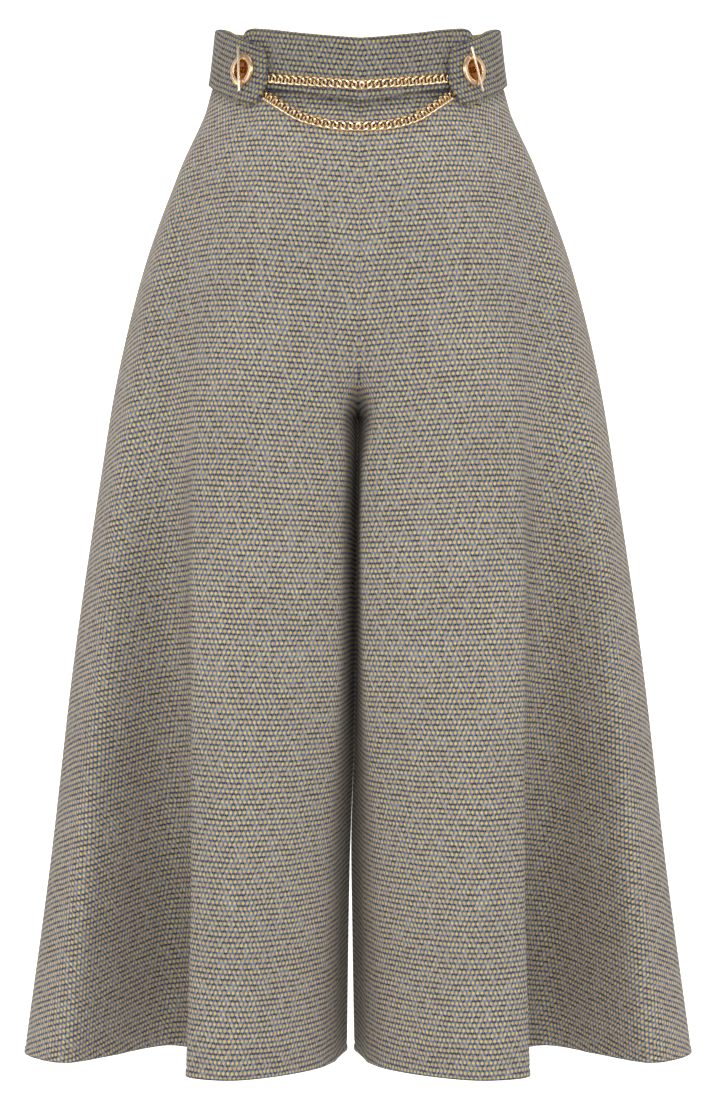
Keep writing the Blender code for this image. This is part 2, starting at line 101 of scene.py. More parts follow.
def tangents(at: np.ndarray, values: np.ndarray) -> np.ndarray:
    """Slopes of a smooth curve that never overshoots its values.

    Args:
        at: Where each row of values lies, rising.
        values: One row for each place.

    Returns:
        The slope at each row, in the shape of values.
    """
    step = np.diff(at)[:, None]
    rate = np.diff(values, axis=0) / step
    before, after = rate[:-1], rate[1:]
    weight_before = 2 * step[1:] + step[:-1]
    weight_after = step[1:] + 2 * step[:-1]
    turning = before * after <= 0
    safe_before = np.where(turning, 1.0, before)
    safe_after = np.where(turning, 1.0, after)
    mean = (weight_before + weight_after) / (weight_before / safe_before + weight_after / safe_after)
    return np.vstack([rate[:1], np.where(turning, 0.0, mean), rate[-1:]])


def between(ends: Sequence[np.ndarray], slopes: Sequence[np.ndarray], width: np.ndarray,
            f: np.ndarray) -> np.ndarray:
    """Follow a smooth curve from one of its places to the next.

    Args:
        ends: Values at the place before and at the place after.
        slopes: Slopes at the two.
        width: How far apart the two lie.
        f: Share of the way from the one to the other.

    Returns:
        The values on the way.
    """
    return (ends[0] * (1 + 2 * f) * (1 - f) ** 2 + ends[1] * f * f * (3 - 2 * f)
            + slopes[0] * width * f * (1 - f) ** 2 - slopes[1] * width * f * f * (1 - f))


def smooth(at: Sequence[float], values: Sequence, where: Numbers) -> np.ndarray:
    """Read a smooth curve through a table.

    Args:
        at: Where each value lies, rising or falling.
        values: One number, or one row, for each place.
        where: One place or many.

    Returns:
        One value or row for each place asked for.
    """
    at = np.asarray(at, float)
    values = np.asarray(values, float)
    if at[0] > at[-1]:
        at, values = at[::-1], values[::-1]
    columns = values.reshape(len(at), -1)
    slope = tangents(at, columns)
    where = np.clip(np.atleast_1d(np.asarray(where, float)), at[0], at[-1])
    low = np.clip(np.searchsorted(at, where) - 1, 0, len(at) - 2)
    width = (at[low + 1] - at[low])[:, None]
    f = (where - at[low])[:, None] / width
    value = between((columns[low], columns[low + 1]), (slope[low], slope[low + 1]), width, f)
    return value.reshape(value.shape[:1] + values.shape[1:])


def read_table(table: Sequence[Sequence[float]], column: Union[int, slice], where: Numbers) -> np.ndarray:
    """Read a column, or a slice of columns, of a table whose first column says where each row lies."""
    return smooth([row[0] for row in table], [row[column] for row in table], where)


def ease(share: np.ndarray) -> np.ndarray:
    """A share from nought to one, made slow at both ends."""
    return share * share * (3 - 2 * share)


def unit(vectors: np.ndarray) -> np.ndarray:
    """Vectors of length one along the last axis."""
    return vectors / np.maximum(np.linalg.norm(vectors, axis=-1, keepdims=True), 1e-12)


def running_length(points: np.ndarray) -> np.ndarray:
    """Length along a line of points, from nought at the first."""
    return np.concatenate([[0.0], np.cumsum(np.linalg.norm(np.diff(points, axis=0), axis=1))])


# ---------------------------------------------------------------------------------------------------
# The garment's form
# ---------------------------------------------------------------------------------------------------

# Stations round a leg, each a crest or a trough of the cloth: 0 to 1 is the front panel, 1 to 2 the back.
STATIONS = {
    "inner_front": 0.00,
    "front_corner": 0.20,
    "front_flute": 0.42,
    "flute_edge": 0.54,
    "flute_neck": 0.65,
    "front_valley": 0.74,
    "side_flute": 0.88,
    "side_seam": 1.00,
    "rear_side_flute": 1.18,
    "rear_valley": 1.36,
    "rear_flute": 1.60,
    "rear_corner": 1.80,
    "inner_back": 2.00,
}
INNER_FRONT, SIDE_SEAM, INNER_BACK = 0.0, 1.0, 2.0

# How far out each station lies from the middle of the garment, level by level down the leg.
LEVELS = (30, -28, -90, -170, -265, -330, -480, -640, -793)
OUT = {
    "front_corner": (19, 20, 23, 24, 18, 8, 10, 18, 21),
    "front_flute": (46, 49, 66, 85, 92, 93, 95, 97, 98),
    "flute_edge": (63, 67, 90, 112, 123, 127, 129, 129, 133),
    "flute_neck": (81, 86.5, 109, 124, 133, 134, 131, 126, 124),
    "front_valley": (91, 97, 120, 138, 149, 151, 149, 150, 152),
    "side_flute": (106.5, 114, 137, 158, 174, 184, 199, 215, 230),
    "side_seam": (109, 116.4, 142, 171, 193.8, 204.5, 227, 246, 267),
    "rear_side_flute": (106.5, 114, 138, 163, 182, 191, 206, 215, 225),
    "rear_valley": (89, 95, 116, 136, 146, 148, 148, 148, 148),
    "rear_flute": (56, 60, 72, 88, 92, 92, 91, 88, 86),
    "rear_corner": (20, 22, 24, 26, 22, 12, 13, 18, 24),
}
# How far behind (or, below nought, in front of) the origin each station lies, at the same levels.
BEHIND = {
    "front_corner": (-83, -88.5, -98.5, -104, -100, -88, -90, -79, -75),
    "front_flute": (-76.5, -81.6, -93, -101, -108, -111, -118, -130, -140),
    "flute_edge": (-69, -73.7, -84, -89, -94, -95, -100, -110, -118),
    "flute_neck": (-56.5, -60.2, -74, -77, -80, -74, -54, -30, -12),
    "front_valley": (-46.5, -49.7, -60, -64, -66, -60, -34, 0, 29),
    "side_flute": (-17.5, -18.7, -38, -53, -59, -61, -57, -55, -57),
    "side_seam": (0, 0, 0, 0, 0, 0, 0, 0, -3),
    "rear_side_flute": (17.5, 18.5, 27, 36, 46, 57, 74, 88, 102),
    "rear_valley": (47.5, 50.7, 62, 70, 76, 76, 74, 73, 71),
    "rear_flute": (70.5, 75.4, 93, 107, 117, 125, 137, 149, 162),
    "rear_corner": (81, 86.3, 103, 115, 117, 108, 104, 100, 97),
}
CROTCH_HEIGHT = -286.0
# The rise: height of the centre seam against how far behind the origin it lies.
FRONT_RISE = ((30, -84), (-28, -90), (-90, -99), (-170, -104), (-215, -103), (-240, -97), (-258, -85),
              (-270, -67), (-278, -44), (-283, -20), (-286, 5))
BACK_RISE = ((30, 82), (-28, 88), (-90, 104), (-170, 115), (-215, 116), (-240, 110), (-258, 96),
             (-270, 77), (-278, 53), (-283, 29), (-286, 5))
# The centre seam and the slit: height, half of the gap between the two legs, and how far to the left of
# the middle the seams stand, and the front edges beside the slit.
SLIT = ((30, 0.002, 2.0, 2.0), (-200, 0.002, 1.5, 1.5), (-286, 0.002, 0.0, -0.8),
        (-320, 0.002, -0.5, -3.2), (-380, 0.002, -1.0, -5.4), (-560, 0.004, -3.5, -5.6),
        (-610, 0.1, -5.4, -5.8), (-640, 0.5, -6.0, -5.8), (-680, 1.2, -6.1, -5.8),
        (-720, 1.8, -6.1, -5.7), (-793, 2.9, -5.9, -5.6))
FRONT_LEAN = {"front_corner": 1.0, "front_flute": 0.25}
BACK_LEAN = {"rear_corner": 1.0, "rear_flute": 0.25}
# Place along the ring, height of the waist seam, height of the band's top edge.
BAND_EDGES = ((0.0, -41.0, 9.0), (0.2, -38.5, 10.5), (0.42, -33.5, 13.6), (0.65, -29.0, 18.7),
              (0.7, -28.2, 19.5), (0.88, -25.5, 20.6), (1.0, -25.0, 20.4), (1.2, -24.6, 21.6),
              (1.5, -24.0, 22.6), (2.0, -23.0, 20.0))
HEM_HEIGHT = -793.0
# The gap that shows between two pieces at a seam, and the nearest that a leg comes to the centre seam.
SEAM_GAP = 0.04
TOUCH = 0.002
# Heights between which the rows of points change from following the waist seam to lying level.
SEAM_FADE = (-28.0, -150.0)
# The forms are worked out at even steps of height, from a little above the band to a little below the hem.
RING_STEP = 0.5
RING_TOP = 34.0
BELOW_HEM = 3.0
# The height, and the places along the ring, at which lengths round the waist are measured.
WAIST_LEVEL = -8.0
WAIST_SPAN = (0.25, 1.5)


@functools.lru_cache(maxsize=None)
def leg_rings(sign: int) -> np.ndarray:
    """Work out the stations of one leg at even steps of height.

    Args:
        sign: The sign of the leg's X.

    Returns:
        How far across and how far behind, by height and station, in millimetres.
    """
    heights = np.arange(RING_TOP, HEM_HEIGHT - BELOW_HEM, -RING_STEP)
    half_gap, seam_lean, edge_lean = read_table(SLIT, slice(1, None), heights).T
    names = list(STATIONS)[1:-1]
    out = smooth(LEVELS, np.array([OUT[name] for name in names]).T, heights)
    behind = smooth(LEVELS, np.array([BEHIND[name] for name in names]).T, heights)
    front = np.array([FRONT_LEAN.get(name, 0.0) for name in names])
    back = np.array([BACK_LEAN.get(name, 0.0) for name in names])
    across = sign * out + front * edge_lean[:, None] + back * seam_lean[:, None]
    seam = sign * half_gap + seam_lean
    first = np.stack([seam, read_table(FRONT_RISE, 1, heights)], axis=1)
    last = np.stack([seam, read_table(BACK_RISE, 1, heights)], axis=1)
    return np.concatenate([first[:, None], np.stack([across, behind], axis=2), last[:, None]], axis=1)


def leg_points(side: Side, places: Numbers, heights: Numbers) -> np.ndarray:
    """Find points on the outer face of the cloth.

    Args:
        side: Which leg.
        places: Places along the ring.
        heights: The height at each of them, or one for all.

    Returns:
        One point for each place, in millimetres.
    """
    places = np.atleast_1d(np.asarray(places, float))
    heights = np.broadcast_to(np.asarray(heights, float), places.shape)
    rings = leg_rings(side.value)
    spot = np.clip((RING_TOP - heights) / RING_STEP, 0, len(rings) - 1.001)
    low = spot.astype(int)
    share = (spot - low)[:, None, None]
    stations = (rings[low] * (1 - share) + rings[low + 1] * share).transpose(1, 0, 2)
    at = np.array(list(STATIONS.values()))
    slope = tangents(at, stations.reshape(len(at), -1)).reshape(stations.shape)
    first = np.clip(np.searchsorted(at, places) - 1, 0, len(at) - 2)
    number = np.arange(len(places))
    width = (at[first + 1] - at[first])[:, None]
    f = (places - at[first])[:, None] / width
    flat = between((stations[first, number], stations[first + 1, number]),
                   (slope[first, number], slope[first + 1, number]), width, f)
    return np.concatenate([flat, heights[:, None]], axis=1)


def leg_normals(side: Side, places: Numbers, heights: Numbers) -> np.ndarray:
    """Find the way out of the cloth.

    Args:
        side: Which leg.
        places: Places along the ring.
        heights: The height at each of them, or one for all.

    Returns:
        One unit vector for each place.
    """
    step, rise = 0.01, 1.5
    places = np.atleast_1d(np.asarray(places, float))
    heights = np.broadcast_to(heights, places.shape)
    low = np.maximum(places - step, INNER_FRONT)
    high = np.minimum(places + step, INNER_BACK)
    along = leg_points(side, high, heights) - leg_points(side, low, heights)
    up = leg_points(side, places, heights + rise) - leg_points(side, places, heights - rise)
    return unit(np.cross(along, up) * side.value)


def seam_height(places: Numbers) -> np.ndarray:
    """Height of the waist seam at places along the ring."""
    return read_table(BAND_EDGES, 1, places)


def band_top(places: Numbers) -> np.ndarray:
    """Height of the waistband's top edge at places along the ring."""
    return read_table(BAND_EDGES, 2, places)


@functools.lru_cache(maxsize=None)
def waist_lengths() -> tuple:
    """Measure round the waist.

    Returns:
        Places along the ring, and the length along the waist from the side seam forward to each.
    """
    places = np.linspace(*WAIST_SPAN, 251)
    run = running_length(leg_points(Side.LEFT, places, WAIST_LEVEL))
    from_seam = np.interp(SIDE_SEAM, places, run) - run
    return places[::-1], from_seam[::-1]


def waist_points(side: Side, along: Numbers, height: Numbers, off: Numbers) -> np.ndarray:
    """Find points over the waistband.

    Args:
        side: Which side of the wearer.
        along: How far forward of the side seam each lies, along the cloth.
        height: How high each lies.
        off: How far off the band's outer face each lies.

    Returns:
        The points, in the shape of the three together.
    """
    along, height, off = np.broadcast_arrays(along, height, off)
    places, lengths = waist_lengths()
    place = np.interp(along.ravel(), lengths, places)
    level = height.ravel().astype(float)
    points = leg_points(side, place, level) + leg_normals(side, place, level) * off.reshape(-1, 1)
    return points.reshape(along.shape + (3,))


# ---------------------------------------------------------------------------------------------------
# Shader wiring
# ---------------------------------------------------------------------------------------------------


class Wiring:
    """Adds nodes to a node tree and joins them, so that a pattern reads as a formula."""

    def __init__(self, tree: bpy.types.NodeTree) -> None:
        """Start on a tree."""
        self.tree = tree

    def node(self, kind: str, inputs: Optional[dict] = None, **settings: object) -> bpy.types.Node:
        """Add a node.

        Args:
            kind: Blender's name for the node.
            inputs: Socket name or number to a socket to join or a value to set.
            **settings: The node's own properties.

        Returns:
            The new node.
        """
        made = self.tree.nodes.new(kind)
        for name, value in settings.items():
            setattr(made, name, value)
        self.fill(made, inputs or {})
        return made

    def fill(self, made: bpy.types.Node, inputs: dict) -> None:
        """Feed several sockets of a node, each by its name or number.

        Args:
            made: The node.
            inputs: Socket name or number to a socket to join or a value to set.
        """
        for name, value in inputs.items():
            if isinstance(value, bpy.types.NodeSocket):
                self.tree.links.new(value, made.inputs[name])
            else:
                made.inputs[name].default_value = value

    def math(self, operation: str, *values: Value) -> bpy.types.NodeSocket:
        """A value worked out from one to three others."""
        return self.node("ShaderNodeMath", dict(enumerate(values)), operation=operation).outputs[0]

    def vector(self, operation: str, *values: Value) -> bpy.types.NodeSocket:
        """A vector worked out from one or two others."""
        return self.node("ShaderNodeVectorMath", dict(enumerate(values)), operation=operation).outputs[0]

    def split(self, vector: Value) -> tuple:
        """The X, Y and Z of a vector."""
        return tuple(self.node("ShaderNodeSeparateXYZ", {0: vector}).outputs)

    def join(self, x: Value = 0.0, y: Value = 0.0, z: Value = 0.0) -> bpy.types.NodeSocket:
        """A vector from three values."""
        return self.node("ShaderNodeCombineXYZ", {0: x, 1: y, 2: z}).outputs[0]

    def noise(self, vector: Value, scale: float, detail: float = 2.0,
              rough: float = 0.5) -> bpy.types.NodeSocket:
        """A noise from nought to one."""
        inputs = {"Vector": vector, "Scale": scale, "Detail": detail, "Roughness": rough}
        return self.node("ShaderNodeTexNoise", inputs).outputs["Fac"]

    def speck(self, vector: Value) -> bpy.types.NodeSocket:
        """A value from nought to one that differs at random from cell to cell."""
        return self.node("ShaderNodeTexWhiteNoise", {"Vector": vector}).outputs["Value"]

    def band(self, value: Value, start: float, end: float, low: float = 0.0,
             high: float = 1.0) -> bpy.types.NodeSocket:
        """A value mapped from start and end to low and high, with soft ends."""
        inputs = {0: value, 1: start, 2: end, 3: low, 4: high}
        return self.node("ShaderNodeMapRange", inputs, interpolation_type="SMOOTHSTEP", clamp=True).outputs[0]

    def mix(self, share: Value, first: Value, second: Value, blend: str = "MIX") -> bpy.types.NodeSocket:
        """A mix of two colours."""
        inputs = {0: share, 6: first, 7: second}
        return self.node("ShaderNodeMix", inputs, data_type="RGBA", blend_type=blend).outputs[2]

    def bump(self, height: Value, strength: float, distance: float) -> bpy.types.NodeSocket:
        """A normal from a height, which is a number of millimetres at one."""
        inputs = {"Height": height, "Strength": strength, "Distance": distance * MM}
        return self.node("ShaderNodeBump", inputs).outputs[0]


def colour(red: float, green: float, blue: float) -> tuple:
    """Make a shader colour.

    Args:
        red: How much red a screen shows, up to 255.
        green: How much green.
        blue: How much blue.

    Returns:
        The colour, opaque, as a shader counts it.
    """
    def linear(value: float) -> float:
        """One of the three as a shader counts it."""
        share = value / 255
        return share / 12.92 if share <= 0.04045 else ((share + 0.055) / 1.055) ** 2.4
    return (linear(red), linear(green), linear(blue), 1.0)


def new_group(name: str, inputs: Sequence[tuple], outputs: Sequence[tuple]) -> tuple:
    """Start a shader node group.

    Args:
        name: The group's name.
        inputs: Rows of socket name, socket type and default value.
        outputs: Rows of socket name and socket type.

    Returns:
        The group, its input node, its output node and a Wiring on it.
    """
    group = bpy.data.node_groups.new(name, "ShaderNodeTree")
    for label, kind, value in inputs:
        socket = group.interface.new_socket(name=label, in_out="INPUT", socket_type=kind)
        if value is not None:
            socket.default_value = value
    for label, kind in outputs:
        group.interface.new_socket(name=label, in_out="OUTPUT", socket_type=kind)
    entry = group.nodes.new("NodeGroupInput")
    leave = group.nodes.new("NodeGroupOutput")
    return group, entry, leave, Wiring(group)


@dataclass(frozen=True)
class Spot:
    """A spot of the weave: half its width and half its height in pitches, and how soft its edge is."""

    wide: float
    tall: float
    soft: float


DOT = Spot(0.27, 0.33, 0.34)
BAR = Spot(0.18, 0.24, 0.45)
HOLE = Spot(0.22, 0.22, 0.6)
# How much half a dot's width varies, in pitches, and how ragged each spot's edge is.
DOT_GROWTH = 0.06
RAGGED = 1.1


@functools.lru_cache(maxsize=None)
def weave_group() -> bpy.types.NodeTree:
    """Make the basket weave: rows of dots, each row set over by half a dot, on a mixed ground.

    Returns:
        A group from a place on the flat cut, in metres, to the cloth's colour and its height.
    """
    group, entry, leave, w = new_group(
        "Basket weave",
        (("Cloth", "NodeSocketVector", None), ("Dot Pitch", "NodeSocketFloat", 3.42),
         ("Row Pitch", "NodeSocketFloat", 4.08), ("Wander", "NodeSocketFloat", 0.35),
         ("Dot", "NodeSocketColor", colour(250, 222, 84)),
         ("Bar", "NodeSocketColor", colour(112, 120, 204)),
         ("Ground", "NodeSocketColor", colour(106, 114, 160)),
         ("Fleck", "NodeSocketColor", colour(152, 166, 186)),
         ("Gap", "NodeSocketColor", colour(22, 24, 62))),
        (("Colour", "NodeSocketColor"), ("Height", "NodeSocketFloat")),
    )
    given = entry.outputs
    cloth = w.vector("MULTIPLY", given["Cloth"], (1000.0, 1000.0, 0.0))
    drift = w.noise(cloth, 0.035, 1.0)
    sway = w.noise(w.vector("ADD", cloth, (311.0, 97.0, 0.0)), 0.3, 2.0)
    x, y, _ = w.split(cloth)
    wander = w.math("MULTIPLY", w.math("SUBTRACT", drift, 0.5), w.math("MULTIPLY", given["Wander"], 6.0))
    jog = w.math("MULTIPLY", w.math("SUBTRACT", sway, 0.5), given["Wander"])
    across = w.math("DIVIDE", w.math("ADD", x, jog), given["Dot Pitch"])
    down = w.math("DIVIDE", w.math("ADD", w.math("ADD", y, wander), jog), given["Row Pitch"])
    row = w.math("ROUND", down)
    from_row = w.math("SUBTRACT", down, row)
    shifted = w.math("ADD", across, w.math("MULTIPLY", w.math("FLOORED_MODULO", row, 2.0), 0.5))
    cell = w.math("ROUND", shifted)
    from_dot = w.math("SUBTRACT", shifted, cell)
    chance = w.speck(w.join(cell, row, 0.0))
    chance_bar = w.speck(w.join(w.math("FLOOR", shifted), row, 7.0))
    fuzz = w.noise(cloth, 1.7, 3.0, 0.65)
    fuzz_off = w.math("MULTIPLY", w.math("SUBTRACT", fuzz, 0.5), RAGGED)

    def spot(out_from: Value, off_from: Value, form: Spot, half_wide: Value) -> bpy.types.NodeSocket:
        """Make a soft, ragged spot.

        Args:
            out_from: How far along the row from its middle, in pitches.
            off_from: How far off the row, in pitches.
            form: Its height and how soft it is.
            half_wide: Half its width, in pitches.

        Returns:
            One in its middle and nought outside it.
        """
        wide = w.math("DIVIDE", out_from, half_wide)
        tall = w.math("DIVIDE", off_from, form.tall)
        away = w.math("SQRT", w.math("ADD", w.math("MULTIPLY", wide, wide), w.math("MULTIPLY", tall, tall)))
        return w.band(w.math("ADD", away, fuzz_off), 1.0 + form.soft, 1.0 - form.soft)

    size = w.math("MULTIPLY_ADD", chance, DOT_GROWTH, DOT.wide)
    dot = spot(from_dot, from_row, DOT, size)
    beside = w.math("SUBTRACT", w.math("ABSOLUTE", from_dot), 0.5)
    bar = spot(beside, from_row, BAR, BAR.wide)
    off_lane = w.math("SUBTRACT", w.math("ABSOLUTE", from_row), 0.47)
    quarter = w.math("SUBTRACT", w.math("ABSOLUTE", from_dot), 0.25)
    lane_spot = w.math("ROUND", w.math("MULTIPLY", w.math("SUBTRACT", across, 0.25), 2.0))
    chance_lane = w.speck(w.join(lane_spot, w.math("FLOOR", down), 5.0))
    hole = spot(quarter, off_lane, HOLE, HOLE.wide)
    gap = w.math("MULTIPLY", hole, w.band(chance_lane, 0.1, 0.9, 0.1, 0.9))
    thread = w.noise(w.join(w.math("MULTIPLY", x, 0.8), w.math("MULTIPLY", y, 1.2), 3.0), 1.25, 3.0, 0.75)
    ground = w.mix(w.band(thread, 0.42, 0.60), given["Ground"], given["Fleck"])
    ground = w.mix(w.band(thread, 0.46, 0.35, 0.0, 0.85), ground, given["Gap"])
    ground = w.mix(w.math("MULTIPLY", hole, w.band(chance_lane, 0.35, 0.0, 0.0, 0.7)), ground, given["Fleck"])
    shade = w.mix(gap, ground, given["Gap"])
    lit_bar = w.math("MULTIPLY", bar, w.math("MULTIPLY_ADD", chance_bar, -0.45, 0.85))
    shade = w.mix(lit_bar, shade, given["Bar"])
    warm = w.mix(w.math("MULTIPLY", chance, 0.55), given["Dot"], colour(214, 168, 44))
    warm = w.mix(w.band(fuzz, 0.50, 0.70, 0.0, 0.6), warm, colour(252, 242, 176))
    shade = w.mix(w.math("MULTIPLY", dot, w.math("MULTIPLY_ADD", chance, -0.15, 1.0)), shade, warm)
    hill = w.math("MAXIMUM", dot, w.math("MULTIPLY", bar, 0.5))
    height = w.math("ADD", hill, w.math("MULTIPLY", thread, 0.45))
    height = w.math("SUBTRACT", height, w.math("MULTIPLY", gap, 0.4))
    w.fill(leave, {"Colour": shade, "Height": height})
    return group


@functools.lru_cache(maxsize=None)
def plate_group() -> bpy.types.NodeTree:
    """Make gold plate: faint clouding of colour and polish, and fine handling scratches.

    Returns:
        A group to the plate's colour, its roughness and its height.
    """
    group, entry, leave, w = new_group(
        "Worn plate",
        (("Gold", "NodeSocketColor", colour(226, 184, 132)),
         ("Tarnish", "NodeSocketColor", colour(186, 132, 84)), ("Polish", "NodeSocketFloat", 0.16)),
        (("Colour", "NodeSocketColor"), ("Roughness", "NodeSocketFloat"), ("Height", "NodeSocketFloat")),
    )
    spot = w.node("ShaderNodeTexCoord").outputs["Object"]
    cloud = w.noise(spot, 260.0, 3.0, 0.6)
    scratch = w.noise(w.vector("MULTIPLY", spot, (4000.0, 900.0, 900.0)), 1.0, 1.0)
    shade = w.mix(w.band(cloud, 0.52, 0.75, 0.0, 0.35), entry.outputs["Gold"], entry.outputs["Tarnish"])
    rough = w.math("ADD", entry.outputs["Polish"], w.band(cloud, 0.35, 0.8, 0.0, 0.12))
    rough = w.math("ADD", rough, w.band(scratch, 0.6, 0.8, 0.0, 0.05))
    w.fill(leave, {"Colour": shade, "Roughness": rough, "Height": scratch})
    return group


# ---------------------------------------------------------------------------------------------------
# Finishes
# ---------------------------------------------------------------------------------------------------


def new_material(name: str) -> tuple:
    """Start a material.

    Args:
        name: The material's name.

    Returns:
        The material, its Principled shader and a Wiring on its tree.
    """
    material = bpy.data.materials.new(name)
    material.use_nodes = True
    return material, material.node_tree.nodes["Principled BSDF"], Wiring(material.node_tree)


@dataclass(frozen=True)
class Tweed:
    """Thick basket-weave tweed, its pattern set out on the flat cut of each piece."""

    name: str
    # Below one, this paints the whole piece darker, as painted shade.
    brightness: float = 1.0
    darkest: float = 0.94
    palest: float = 1.04
    row_pitch: float = 4.08
    relief: float = 0.55
    relief_strength: float = 0.6
    roughness: float = 0.9
    shine: float = 0.2
    sheen: float = 0.12
    sheen_roughness: float = 0.5

    def material(self) -> bpy.types.Material:
        """Make the material.

        Returns:
            The material, for pieces that have a flat cut.
        """
        material, shader, w = new_material(self.name)
        cut = w.node("ShaderNodeUVMap", uv_map=CUT_MAP).outputs[0]
        weave = w.node("ShaderNodeGroup", node_tree=weave_group())
        w.fill(weave, {"Cloth": cut, "Row Pitch": self.row_pitch})
        broad = w.noise(cut, 9.0, 2.0)
        tone = w.band(broad, 0.3, 0.7, self.darkest * self.brightness, self.palest * self.brightness)
        w.fill(shader, {
            "Base Color": w.mix(1.0, weave.outputs["Colour"], w.join(tone, tone, tone), "MULTIPLY"),
            "Roughness": self.roughness,
            "Specular IOR Level": self.shine,
            "Sheen Weight": self.sheen,
            "Sheen Roughness": self.sheen_roughness,
            "Normal": w.bump(weave.outputs["Height"], self.relief_strength, self.relief),
        })
        return material


@dataclass(frozen=True)
class Plate:
    """Gold plate on cast brass.

    Attributes:
        name: The material's name.
        gold: The plate's colour.
        polish: How rough it is where it is brightest.
        painted_shade: The colour of painted shade on the side of each link nearest the cloth and along one
            edge, where it is a chain's.
        scratch_depth: How deep a scratch is, in millimetres.
        scratch_strength: How strongly the scratches show.
    """

    name: str
    gold: tuple
    polish: float
    painted_shade: Optional[tuple] = None
    scratch_depth: float = 0.02
    scratch_strength: float = 0.08

    def material(self) -> bpy.types.Material:
        """Make the material.

        Returns:
            The material.
        """
        material, shader, w = new_material(self.name)
        plate = w.node("ShaderNodeGroup", node_tree=plate_group())
        w.fill(plate, {"Gold": self.gold, "Polish": self.polish})
        shade = plate.outputs["Colour"]
        if self.painted_shade:
            # Painted shade: the Cut map holds each point's height off the cloth and its place across the
            # chain, and the gold is mixed to dark brown low down and toward one edge.
            lift, rise, _ = w.split(w.node("ShaderNodeUVMap", uv_map=CUT_MAP).outputs[0])
            painted_light_share = w.band(w.math("MULTIPLY_ADD", rise, -0.6, lift), -0.6, 0.4)
            shade = w.mix(painted_light_share, self.painted_shade, shade)
        w.fill(shader, {
            "Base Color": shade,
            "Roughness": plate.outputs["Roughness"],
            "Metallic": 1.0,
            "Normal": w.bump(plate.outputs["Height"], self.scratch_strength, self.scratch_depth),
        })
        return material


# ---------------------------------------------------------------------------------------------------
# Meshes
# ---------------------------------------------------------------------------------------------------


def make_object(name: str, points: np.ndarray, faces: Sequence, material: bpy.types.Material,
                cut: Optional[np.ndarray] = None, sharp: float = math.pi) -> bpy.types.Object:
    """Make a piece from points in millimetres.

    Args:
        name: The piece's name.
        points: One row for each point.
        faces: Point numbers of each face.
        material: What it is made of.
        cut: Where each point lies on the flat cut, in metres.
        sharp: Edges that turn by more than this angle are sharp.

    Returns:
        The new object, its faces pointing out.
    """
    mesh = bpy.data.meshes.new(name)
    mesh.from_pydata((np.asarray(points, float) * MM).tolist(), [], [list(face) for face in faces])
    mesh.validate()
    if mesh_volume(mesh) < 0:
        mesh.flip_normals()
    if cut is not None:
        layer = mesh.uv_layers.new(name=CUT_MAP)
        corners = np.zeros(len(mesh.loops), np.int32)
        mesh.loops.foreach_get("vertex_index", corners)
        layer.data.foreach_set("uv", np.asarray(cut, np.float32)[corners].ravel())
    mesh.shade_smooth()
    if sharp < math.pi:
        mesh.set_sharp_from_angle(angle=sharp)
    mesh.materials.append(material)
    piece = bpy.data.objects.new(name, mesh)
    bpy.context.scene.collection.objects.link(piece)
    return piece


def mesh_volume(mesh: bpy.types.Mesh) -> float:
    """Measure a closed mesh.

    Args:
        mesh: The mesh, whose triangles are worked out here.

    Returns:
        Its volume, below nought where its faces point in.
    """
    mesh.calc_loop_triangles()
    points = np.zeros(len(mesh.vertices) * 3, np.float32)
    mesh.vertices.foreach_get("co", points)
    points = points.reshape(-1, 3).astype(float)
    triangles = np.zeros(len(mesh.loop_triangles) * 3, np.int32)
    mesh.loop_triangles.foreach_get("vertices", triangles)
    a, b, c = (points[triangles.reshape(-1, 3)[:, corner]] for corner in range(3))
    return float(np.einsum("ij,ij->i", a, np.cross(b, c)).sum() / 6)


def grid_faces(rows: int, columns: int, start: int, flip: bool) -> list:
    """List the faces of a grid of points.

    Args:
        rows: Rows of points.
        columns: Points in each row.
        start: Number of the first point.
        flip: Whether the faces look the other way.

    Returns:
        Four point numbers for each face.
    """
    faces = []
    for row in range(rows - 1):
        for column in range(columns - 1):
            a = start + row * columns + column
            face = (a, a + 1, a + columns + 1, a + columns)
            faces.append(face[::-1] if flip else face)
    return faces


def grid_normals(grid: np.ndarray, joined: Optional[np.ndarray] = None) -> np.ndarray:
    """Normals of a grid of points.

    Args:
        grid: Points by row and column.
        joined: Rows whose first and last points are the same point of the garment.

    Returns:
        One unit normal for each point.
    """
    across = grid[:, 1:] - grid[:, :-1]
    down = grid[1:] - grid[:-1]
    faces = np.cross(across[:-1], down[:, :-1]) + np.cross(across[1:], down[:, 1:])
    normals = np.zeros_like(grid)
    for row in (0, 1):
        for column in (0, 1):
            normals[row:row + faces.shape[0], column:column + faces.shape[1]] += faces
    if joined is not None:
        shared = normals[joined, 0] + normals[joined, -1]
        normals[joined, 0] = shared
        normals[joined, -1] = shared
    return unit(normals)


